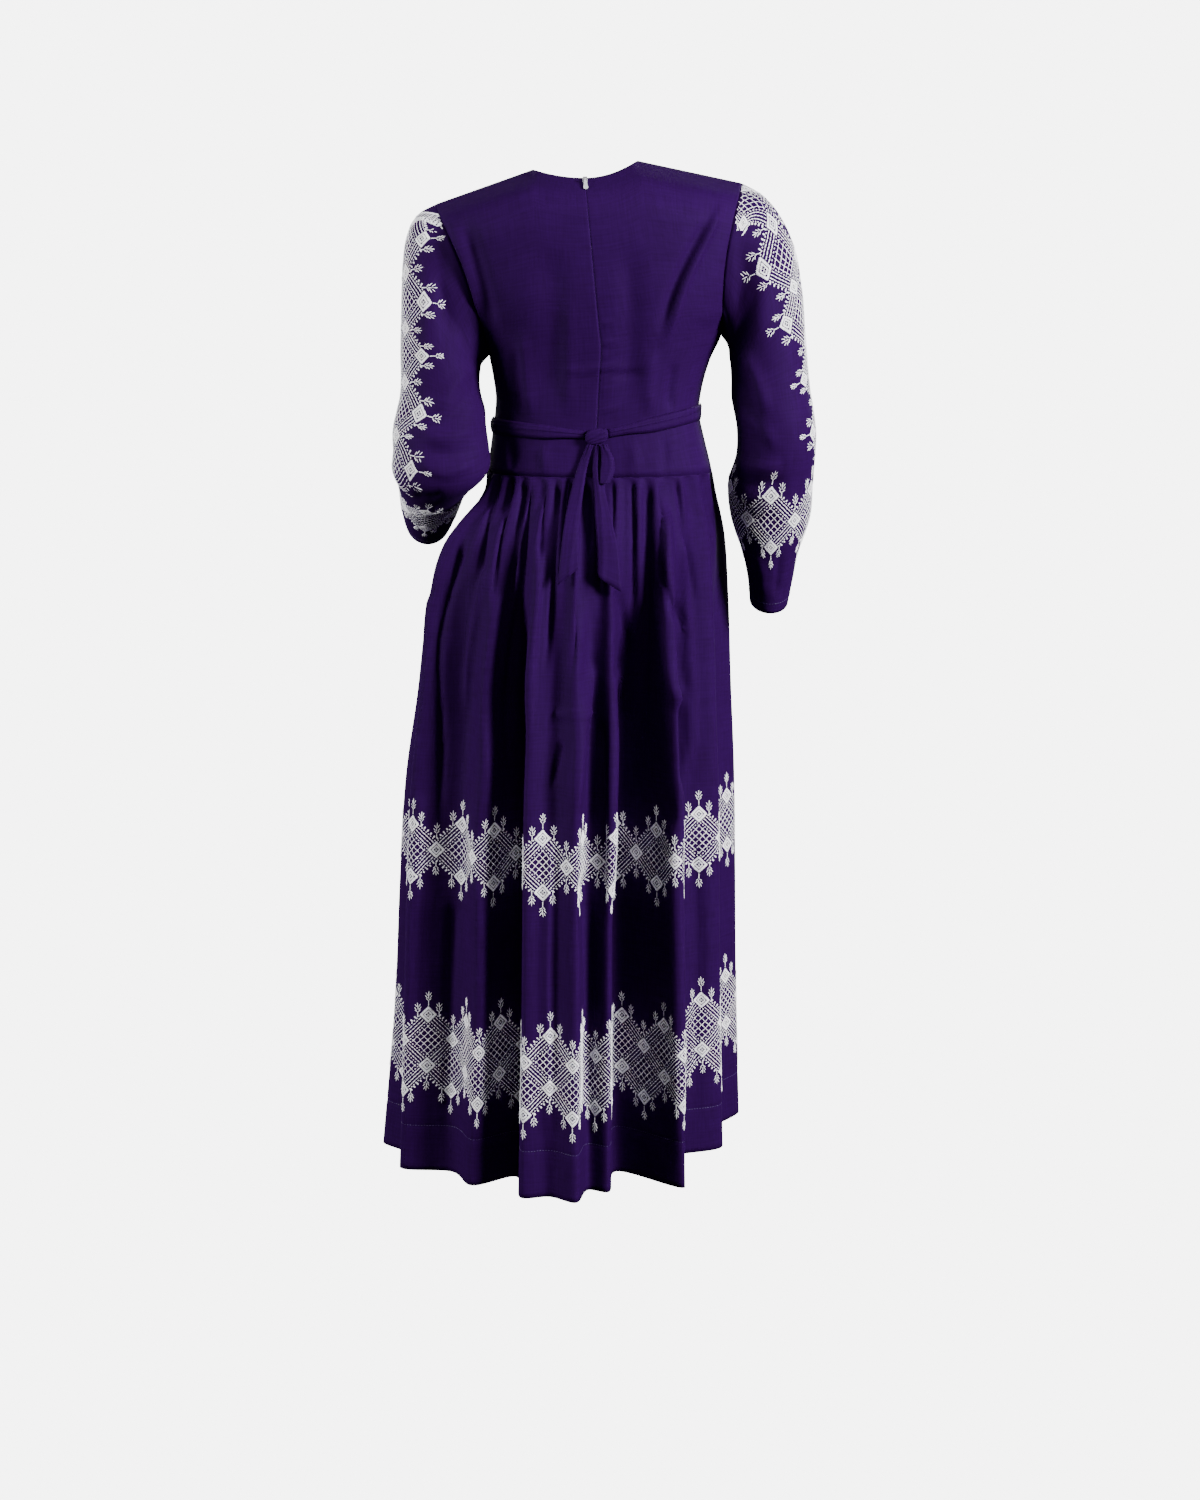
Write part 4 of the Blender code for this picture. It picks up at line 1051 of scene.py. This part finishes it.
# %% [markdown]
# ## One stitch, many times
#
# A stitch is a low, rounded ridge of eight triangles. A Geometry Nodes tree lays it on every
# point of a cloud, along that point's thread, and makes each one a little uneven.

# %%
STITCH_INPUTS = [
    ("Geometry", "Geometry"),
    ("Stitch", "Object"),
    ("Thread", "Material"),
    ("Unevenness", "Float"),
    ("Seed", "Int"),
]
UNEVENNESS = 0.12
STITCH_LIFT = 0.00005


def stitch_object():
    outline = [(-0.5, 0), (-0.36, 0.42), (0.36, 0.42), (0.5, 0), (0.36, -0.42), (-0.36, -0.42)]
    points = [(x, y, 0) for x, y in outline] + [(-0.3, 0, 1), (0.3, 0, 1)]
    faces = [(2, 1, 6, 7), (5, 4, 7, 6), (1, 0, 6), (0, 5, 6), (3, 2, 7), (4, 3, 7)]
    mesh = bpy.data.meshes.new("stitch_shape")
    mesh.from_pydata(points, [], faces)
    mesh.shade_smooth()
    return bpy.data.objects.new("stitch_shape", mesh)


def stitch_tree():
    """Points in, stitches out: turned by the point's own directions and sized by its own size."""
    tree = bpy.data.node_groups.new("lay_stitches", "GeometryNodeTree")
    for name, kind in STITCH_INPUTS:
        tree.interface.new_socket(name, in_out="INPUT", socket_type="NodeSocket" + kind)
    tree.interface.new_socket("Geometry", in_out="OUTPUT", socket_type="NodeSocketGeometry")
    given = add_node(tree, "NodeGroupInput")
    shape = add_node(tree, "GeometryNodeObjectInfo", links={"Object": given.outputs["Stitch"]})
    ways = {
        key: add_node(
            tree, "GeometryNodeInputNamedAttribute", {"data_type": "FLOAT_VECTOR"}, {"Name": key}
        ).outputs["Attribute"]
        for key in ("out_way", "thread_way", "size")
    }
    turn = add_node(
        tree, "FunctionNodeAxesToRotation", {"primary_axis": "Z", "secondary_axis": "X"},
        links={"Primary Axis": ways["out_way"], "Secondary Axis": ways["thread_way"]},
    )
    sway = add_node(
        tree, "FunctionNodeRandomValue", {"data_type": "FLOAT_VECTOR"},
        {0: (-0.05, -0.05, -0.16), 1: (0.05, 0.05, 0.16)}, {"Seed": given.outputs["Seed"]},
    )
    sway_turn = add_node(tree, "FunctionNodeEulerToRotation", links={"Euler": sway.outputs[0]})
    turned = add_node(
        tree, "FunctionNodeRotateRotation", {"rotation_space": "LOCAL"},
        links={"Rotation": turn.outputs[0], "Rotate By": sway_turn.outputs[0]},
    )
    uneven = add_node(
        tree, "FunctionNodeRandomValue", {"data_type": "FLOAT"}, {2: -1.0, 3: 1.0},
        {"Seed": given.outputs["Seed"]},
    )
    share = add_node(
        tree, "ShaderNodeMath", {"operation": "MULTIPLY_ADD"}, {2: 1.0},
        {0: uneven.outputs[1], 1: given.outputs["Unevenness"]},
    )
    size = add_node(
        tree, "ShaderNodeVectorMath", {"operation": "SCALE"},
        links={"Vector": ways["size"], "Scale": share.outputs[0]},
    )
    laid = add_node(
        tree, "GeometryNodeInstanceOnPoints",
        links={
            "Points": given.outputs["Geometry"],
            "Instance": shape.outputs["Geometry"],
            "Rotation": turned.outputs[0],
            "Scale": size.outputs[0],
        },
    )
    real = add_node(tree, "GeometryNodeRealizeInstances", links={"Geometry": laid.outputs[0]})
    painted = add_node(
        tree, "GeometryNodeSetMaterial",
        links={"Geometry": real.outputs[0], "Material": given.outputs["Thread"]},
    )
    add_node(tree, "NodeGroupOutput", links={"Geometry": painted.outputs[0]})
    return tree


STITCH = stitch_object()
STITCH_TREE = stitch_tree()


def lay_stitches(name, points, outward, thread_way, sizes, material, seed):
    """One sewn piece: a cloud of points with directions and sizes, made into real stitches."""
    mesh = bpy.data.meshes.new(name)
    mesh.from_pydata(points.tolist(), [], [])
    for key, values in (("out_way", outward), ("thread_way", thread_way), ("size", sizes)):
        attribute = mesh.attributes.new(key, "FLOAT_VECTOR", "POINT")
        attribute.data.foreach_set("vector", np.asarray(values, np.float32).ravel())
    piece = add_object(name, mesh)
    modifier = piece.modifiers.new("lay_stitches", "NODES")
    modifier.node_group = STITCH_TREE
    inputs = {
        item.name: item.identifier for item in STITCH_TREE.interface.items_tree if item.in_out == "INPUT"
    }
    modifier[inputs["Stitch"]] = STITCH
    modifier[inputs["Thread"]] = material
    modifier[inputs["Unevenness"]] = UNEVENNESS
    modifier[inputs["Seed"]] = seed
    keep_result(piece)
    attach(piece, "dress")
    print(f"{name}: {len(points)} stitches, {triangles(piece)} triangles")
    return piece


# %% [markdown]
# ## The pattern
#
# The bands are a lattice. Small satin diamonds stand on its nodes, hatched bars run between
# them, and a net fills each large diamond. Leaf buds on short stems hang off both edges.
# Every rule below lists stitches as s along the band, t across it, angle, length, width and
# height, in millimetres and degrees.

# %%
HALF_STEP = 33.5
REPEAT = 2 * HALF_STEP
DIAGONAL = HALF_STEP * math.sqrt(2)
NODE_HALF = 8.2
NET_PITCH = 6.4
THREAD_HEIGHT = 0.55
LOW_THREAD = THREAD_HEIGHT * 0.8
NODE_CLEARANCE = 0.6
BAR_PIECES = 6
BAR_LINES = (-3.9, 0.0, 3.9)
BEAD_ROWS = (-7.0, 7.0)
BEAD_PITCH = 3.95
TEETH_ASIDE = 9.6
TEETH_PITCH = 5.6
NET_PIECES = 6
NET_CLEARANCE = 8.6
# Leaves on one side of a bud: away from its stem, up it, lean in degrees, length and width
BUD_LEAVES = [(2.0, 7.8, 48, 4.0, 1.1), (2.9, 11.0, 38, 5.0, 1.1), (2.3, 14.8, 28, 4.8, 1.0)]


def on_diagonals(s, t, p, q):
    """A place given along the two diagonals through s, t."""
    return s + (p + q) / math.sqrt(2), t + (p - q) / math.sqrt(2)


def node_diamond(s, t):
    """Concentric squares of satin, with four short stitches in the middle."""
    found = []
    for reach, length, pitch, width in ((6.5, 3.2, 1.45, 1.7), (3.4, 2.2, 1.45, 1.7)):
        steps = np.arange(-reach, reach + 0.1, pitch)
        for k in steps:
            for side in (-1, 1):
                found.append((*on_diagonals(s, t, side * reach, k), 45, length, width, THREAD_HEIGHT))
                found.append((*on_diagonals(s, t, k, side * reach), -45, length, width, THREAD_HEIGHT))
    for p, q, angle in ((1.1, 0, 45), (-1.1, 0, 45), (0, 1.1, -45), (0, -1.1, -45)):
        found.append((*on_diagonals(s, t, p, q), angle, 1.9, 1.0, THREAD_HEIGHT))
    return found


def bar(s, t, rising, outer=0):
    """Hatched bar to the next node on the right, with beads beside it and teeth on an outer side."""
    found = []
    angle = 45 if rising > 0 else -45

    def place(along, aside):
        p, q = (along, aside) if rising > 0 else (aside, along)
        return on_diagonals(s, t, p, q)

    first, last = NODE_HALF + NODE_CLEARANCE, DIAGONAL - NODE_HALF - NODE_CLEARANCE
    length = (last - first) / BAR_PIECES
    for aside in BAR_LINES:
        for k in range(BAR_PIECES):
            along = first + length * (k + 0.5)
            found.append((*place(along, aside), angle, length * 0.97, 1.3, LOW_THREAD))
    for aside in BEAD_ROWS:
        for along in np.arange(first + 1.2, last, BEAD_PITCH):
            found.append((*place(along, aside), angle, 2.0, 1.5, THREAD_HEIGHT))
    if outer:
        # The outer side of a rising bar lies on the q side that points away from the band
        away = -outer if rising > 0 else outer
        for along in np.arange(first + 2.2, last, TEETH_PITCH):
            found.append((*place(along, away * TEETH_ASIDE), -angle, 3.2, 2.2, THREAD_HEIGHT))
    return found


def net(s, t):
    """Crossing threads that leave small square holes."""
    found = []
    reach = DIAGONAL / 2 - NET_CLEARANCE
    length = 2 * reach / NET_PIECES
    for line in np.arange(-2, 2.1) * NET_PITCH:
        for k in range(NET_PIECES):
            along = -reach + length * (k + 0.5)
            found.append((*on_diagonals(s, t, along, line), 45, length * 1.04, 1.0, LOW_THREAD))
            found.append((*on_diagonals(s, t, line, along), -45, length * 1.04, 1.0, LOW_THREAD))
    return found


def bud(s, t, way):
    """A leaf bud on a beaded stem. It points up for way 1 and down for way -1."""
    found = [(s, t + way * k, 90, 2.4, 1.3, THREAD_HEIGHT) for k in (0.6, 2.9, 5.2)]
    found.append((s, t + way * 13.6, 90, 11.5, 1.2, THREAD_HEIGHT * 1.3))
    for side in (-1, 1):
        for away, up, lean, length, width in BUD_LEAVES:
            angle = 90 - way * side * lean
            found.append((s + side * away, t + way * up, angle, length, width, THREAD_HEIGHT))
    return found


def edge_buds(tip_s, tip_t, valley_s, valley_t, way):
    """The four buds of one repeat on one edge: at the tip, beside it and in the valley."""
    found = bud(tip_s, tip_t + way * 12.4, way)
    for side in (-1, 1):
        found += bud(tip_s + side * 13.5, tip_t - way * 2.5, way)
    return found + bud(valley_s, valley_t + way * 14.8, way)


def chain_repeat():
    """Three rows of nodes: the middle row stands half a repeat before the outer ones."""
    a = HALF_STEP
    found = node_diamond(0, 0) + node_diamond(a, a) + node_diamond(a, -a) + net(a, 0)
    found += bar(0, 0, 1, outer=1) + bar(0, 0, -1, outer=-1)
    found += bar(a, a, -1, outer=1) + bar(a, -a, 1, outer=-1)
    return found + edge_buds(a, a, 0, 0, 1) + edge_buds(a, -a, 0, 0, -1)


def wide_repeat():
    """Four rows of nodes, with tips above and below that stand half a repeat apart."""
    a = HALF_STEP
    found = node_diamond(0, 1.5 * a) + node_diamond(0, -0.5 * a)
    found += node_diamond(a, 0.5 * a) + node_diamond(a, -1.5 * a)
    found += net(0, 0.5 * a) + net(a, -0.5 * a)
    found += bar(0, 1.5 * a, -1, outer=1) + bar(a, 0.5 * a, 1, outer=1)
    found += bar(0, -0.5 * a, 1) + bar(a, 0.5 * a, -1)
    found += bar(0, -0.5 * a, -1, outer=-1) + bar(a, -1.5 * a, 1, outer=-1)
    return found + edge_buds(0, 1.5 * a, a, 0.5 * a, 1) + edge_buds(a, -1.5 * a, 0, -0.5 * a, -1)


CHAIN = np.array(chain_repeat())
WIDE = np.array(wide_repeat())
print("stitches a repeat:", len(CHAIN), "in the narrow band,", len(WIDE), "in the wide one")

# %% [markdown]
# ## Sewing the bands on
#
# A band's s and t become a row and column of the cloth's grid, measured along the cloth itself,
# so the pattern runs into the folds and out again.

# %%
def repeated(repeat, count, first=0):
    """A chart of count repeats side by side."""
    charts = []
    for number in range(first, first + count):
        chart = repeat.copy()
        chart[:, 0] += number * REPEAT
        charts.append(chart)
    return np.concatenate(charts)


THREADS = {"embroidery": white_thread, "cloth": purple_thread}
embroidery = {}


def sew(slot, name, grid, where, chart, seed):
    """Lays a chart's stitches on a closed grid. where turns s and t, in millimetres, to rows and columns."""
    normals = grid_normals(grid, closed=True)

    def point(s, t):
        return at_grid(grid, *where(s, t), True)

    row = where(chart[:, 0], chart[:, 1])[0]
    chart = chart[(row > 0.4) & (row < len(grid) - 1.4)]
    s, t, angle, length, width, height = chart.T
    reach = np.maximum(length / 2, 1.0)
    turn = np.radians(angle)
    ahead = point(s + reach * np.cos(turn), t + reach * np.sin(turn))
    behind = point(s - reach * np.cos(turn), t - reach * np.sin(turn))
    thread_way = ahead - behind
    spans = np.linalg.norm(thread_way, axis=1)
    outward = at_grid(normals, *where(s, t), True)
    outward = outward / np.linalg.norm(outward, axis=1)[:, None]
    middle = (point(s, t) * 2 + ahead + behind) / 4
    sizes = np.stack([length * MM * np.clip(spans / (2 * reach * MM), 0.6, 1.3), width * MM, height * MM], 1)
    places = middle + outward * STITCH_LIFT
    ways = thread_way / spans[:, None]
    embroidery[name] = lay_stitches(name, places, outward, ways, sizes, THREADS[slot], seed)


def measure_along(points):
    """How far along a line of points each one lies, in millimetres."""
    return np.concatenate([[0], np.cumsum(np.linalg.norm(np.diff(points, axis=0), axis=1))]) / MM


def measure_ring(grid, row):
    """Places round a closed row, how many repeats fit and how far each is stretched to fit."""
    around = measure_along(np.concatenate([grid[row], grid[row, :1]]))
    count = round(around[-1] / REPEAT)
    return around, count, around[-1] / (count * REPEAT)


def skirt_band(height):
    """Rows and columns of a band round the skirt, and how many repeats fit."""
    row = int(np.argmin(np.abs(skirt_heights - height)))
    around, count, scale = measure_ring(skirt, row)

    def where(s, t):
        column = np.interp((s * scale) % around[-1], around, np.arange(len(around)))
        rows = np.interp(-(height + t * MM), -skirt_heights, np.arange(len(skirt_heights)))
        return rows, column

    half_way = float(around[right_seam]) / scale
    return where, count, half_way


BANDS = [("upper", -0.838, CHAIN), ("lower", -1.103, WIDE)]
for name, height, repeat in BANDS:
    where, count, half_way = skirt_band(height)
    chart = repeated(repeat, count)
    on_back = chart[:, 0] % (count * REPEAT) < half_way
    for side, keep in (("back", on_back), ("front", ~on_back)):
        if keep.any():
            sew("embroidery", f"embroidery_{name}_{side}", skirt, where, chart[keep], len(embroidery))
    print(name, "band:", count, "repeats")

# %% [markdown]
# Each sleeve carries a chain down its outer side and a ring above the wrist. The chain lies a
# little to the back at the shoulder and to the front at the elbow.

# %%
# The middle line of each chain, beside its nodes: row of the sleeve's table and part of the way
# round from the outer line towards the back
CHAIN_NODES = {
    "right": [(0.25, 0.064), (2.84, 0.130), (4.36, 0.083), (5.75, 0.002), (7.02, -0.021)],
    "left": [(2.04, 0.053), (3.66, 0.092), (5.04, 0.083), (6.38, 0.079), (8.37, 0.054)],
}
CHAIN_LAST = 4.5 * REPEAT
# Above this place a chain has no buds, since its cap has no room for them
CHAIN_QUIET = {"right": 5, "left": -12}
CHAIN_REACH = 62
CHAIN_WALK = 2
CAP_ROWS = {"right": 0, "left": 18 * SLEEVE_STEPS // 7}
CAP_EASE = 9
CAP_SLOPE_ROWS = 6 * SLEEVE_STEPS // 7
RING_FROM_CUFF = {"right": 130.0, "left": 95.0}
RING_START = {"right": 0.16, "left": 0.10}


def steady_heading(path):
    """Directions along a path on the sleeve, evened out near the cap, where the rows crowd."""
    along = np.gradient(path, axis=0)
    along /= np.linalg.norm(along, axis=1)[:, None]
    padded = np.pad(along, ((CAP_EASE, CAP_EASE), (0, 0)), mode="edge")
    even = np.array([padded[row : row + 2 * CAP_EASE + 1].mean(axis=0) for row in range(len(along))])
    near_cap = ease(2 - np.arange(len(along)) / CAP_EASE)[:, None]
    return even * near_cap + along * (1 - near_cap)


def walk_out(grid, rows, columns, way, cap_rows):
    """Rows and columns met when walking straight off a path on the cloth, to one side."""
    path = at_grid(grid, rows, columns, True)
    heading = None
    found = [(rows, columns)]
    for _ in range(CHAIN_REACH // CHAIN_WALK):
        row = np.clip(rows, 0.5, len(grid) - 1.6)
        down = at_grid(grid, row + 0.5, columns, True) - at_grid(grid, row - 0.5, columns, True)
        around = at_grid(grid, row, columns + 0.5, True) - at_grid(grid, row, columns - 0.5, True)
        if heading is None:
            heading = np.cross(np.cross(down, around), steady_heading(path))
            heading *= way * np.sign((heading * around).sum(1))[:, None]
            # Over the cap every walk goes the same way as the first one below it
            heading[:cap_rows] = heading[cap_rows]
        dd, dr, rr = (down * down).sum(1), (down * around).sum(1), (around * around).sum(1)
        hd, hr = (heading * down).sum(1), (heading * around).sum(1)
        det = dd * rr - dr * dr
        a, b = (hd * rr - hr * dr) / det, (hr * dd - hd * dr) / det
        move = a[:, None] * down + b[:, None] * around
        length = np.linalg.norm(move, axis=1)
        rows = rows + a * CHAIN_WALK * MM / length
        columns = columns + b * CHAIN_WALK * MM / length
        heading = move / length[:, None]
        found.append((rows, columns))
    return found


def sleeve_chain(grid, nodes, cap_rows):
    """Rows run down the sleeve from the shoulder, columns round it from its outer line."""
    rows, columns = grid.shape[:2]
    every_row = np.arange(rows)
    node_rows = np.array([node[0] for node in nodes]) * SLEEVE_STEPS
    middle = smooth([(row, node[1]) for row, node in zip(node_rows, nodes)], every_row) * columns
    path = at_grid(grid, every_row, middle, True)
    down = measure_along(path)
    node_down = np.interp(node_rows, every_row, down)
    node_s = np.arange(len(nodes)) * REPEAT
    start_rows = every_row * 1.0
    walks = walk_out(grid, start_rows, middle, -1, cap_rows)[:0:-1]
    walks += walk_out(grid, start_rows, middle, 1, cap_rows)
    walks = np.array(walks).transpose(2, 0, 1)

    def where(s, t):
        along = np.interp(s, node_s, node_down)
        along = along + np.minimum(s, 0) + np.maximum(s - node_s[-1], 0)
        place = np.interp(along, down, every_row, right=rows)
        aside = (np.clip(t, -CHAIN_REACH, CHAIN_REACH) + CHAIN_REACH) / CHAIN_WALK
        # Above the path's start the walks go on in the same way, up to the seam
        start = at_grid(walks, 0 * place, aside)
        slope = (at_grid(walks, 0 * place + CAP_SLOPE_ROWS, aside) - start) / down[CAP_SLOPE_ROWS]
        row, column = (at_grid(walks, place, aside) + np.minimum(along, 0)[:, None] * slope).T
        return np.where(place >= rows, -1, row), column

    return where


def sleeve_ring(grid, from_cuff, start=0.0):
    rows, columns = grid.shape[:2]
    down = measure_along(grid.mean(axis=1))
    middle = down[-1] - from_cuff
    around, count, scale = measure_ring(grid, int(np.argmin(np.abs(down - middle))))

    def where(s, t):
        column = np.interp((s * scale) % around[-1], around, np.arange(columns + 1))
        return np.interp(middle - t, down, np.arange(rows)), column + start * columns

    return where, count


for side, grid in sleeves.items():
    where = sleeve_chain(grid, CHAIN_NODES[side], CAP_ROWS[side])
    chart = repeated(CHAIN, 7, first=-2)
    chart[:, 0] += HALF_STEP
    at_cap = (chart[:, 0] < CHAIN_QUIET[side]) & (np.abs(chart[:, 1]) > HALF_STEP + NODE_HALF)
    chart = chart[(chart[:, 0] < CHAIN_LAST) & ~at_cap]
    sew("embroidery", f"embroidery_chain_{side}", grid, where, chart, 10)
    where, count = sleeve_ring(grid, RING_FROM_CUFF[side], RING_START[side])
    sew("embroidery", f"embroidery_ring_{side}", grid, where, repeated(CHAIN, count), 20)
    print(side, "wrist ring:", count, "repeats")

# %% [markdown]
# ## Plain sewing
#
# The hem and the cuffs are turned in and held by one line of small stitches each.

# %%
RUN_LENGTH = 2.6
RUN_PITCH = 3.6
RUN_WIDTH = 0.7
RUN_HEIGHT = 0.35
CUFF_HEM = 14.0


def running_stitch(s_end):
    """A line of small stitches along s."""
    s = np.arange(RUN_PITCH / 2, s_end, RUN_PITCH)
    chart = np.zeros((len(s), 6))
    chart[:, 0] = s
    chart[:, 3:] = (RUN_LENGTH, RUN_WIDTH, RUN_HEIGHT)
    return chart


where, count, half_way = skirt_band(HEM_STITCH_Z)
chart = running_stitch(count * REPEAT)
for side, keep in (("back", chart[:, 0] < half_way), ("front", chart[:, 0] >= half_way)):
    sew("cloth", f"hem_stitches_{side}", skirt, where, chart[keep], 31)
for side, grid in sleeves.items():
    where, count = sleeve_ring(grid, CUFF_HEM)
    sew("cloth", f"cuff_stitches_{side}", grid, where, running_stitch(count * REPEAT), 32)

# %% [markdown]

# %% [markdown]
# ## Camera, backdrop and light

# %%
CAMERA_PLACE = (0, -3.15, -0.07)
CAMERA_TILT = 11.8
camera = add_object("camera", bpy.data.cameras.new("camera"))
camera.data.lens = 60.5
camera.data.sensor_width = 36
camera.data.sensor_fit = "VERTICAL"
camera.data.sensor_height = 36
camera.location = CAMERA_PLACE
camera.rotation_euler = (math.radians(90 - CAMERA_TILT), 0, 0)
bpy.context.scene.camera = camera


def glowing(name, colour, strength):
    material = bpy.data.materials.new(name)
    material.use_nodes = True
    tree = material.node_tree
    tree.nodes.clear()
    light = add_node(tree, "ShaderNodeEmission", values={"Color": srgb(colour), "Strength": strength})
    add_node(tree, "ShaderNodeOutputMaterial", links={"Surface": light.outputs[0]})
    return material


def area_light(name, place, target, size, power):
    data = bpy.data.lights.new(name, "AREA")
    data.shape = "DISK"
    data.size = size
    data.energy = power
    lamp = add_object(name, data)
    lamp.location = place
    aim = Vector(target) - Vector(place)
    lamp.rotation_euler = aim.to_track_quat("-Z", "Y").to_euler()


backdrop_mesh = bpy.data.meshes.new("backdrop")
builder = bmesh.new()
bmesh.ops.create_grid(builder, x_segments=1, y_segments=1, size=16.0)
builder.to_mesh(backdrop_mesh)
builder.free()
backdrop = add_object("backdrop", backdrop_mesh)
backdrop.rotation_euler = (math.radians(90), 0, 0)
backdrop.location = (0, 9.0, -0.6)
backdrop_mesh.materials.append(glowing("paper_backdrop", "f1f1f1", 7.0))
backdrop.visible_diffuse = False
backdrop.visible_glossy = False

world = bpy.data.worlds.new("studio")
world.use_nodes = True
world.node_tree.nodes["Background"].inputs["Color"].default_value = (1, 1, 1, 1)
world.node_tree.nodes["Background"].inputs["Strength"].default_value = 0.05
bpy.context.scene.world = world
# Each lamp: its name, place, target height, size and power
for name, place, target_z, size, power in (
    ("key", (2.7, -2.0, 0.7), -0.5, 1.0, 360),
    ("fill", (-3.1, -0.8, 0.3), -0.6, 1.2, 150),
    ("front", (0.2, -3.4, 0.6), -0.5, 1.5, 8),
    ("top", (0.1, -0.5, 1.3), 0.0, 1.0, 9),
    ("far_side", (2.2, 3.4, 0.9), -0.6, 1.6, 90),
    ("far_fill", (-2.4, 3.2, 0.5), -0.6, 1.6, 45),
):
    area_light(name, place, (0, 0, target_z), size, power)
print("camera at", CAMERA_PLACE, "looking", CAMERA_TILT, "degrees down")
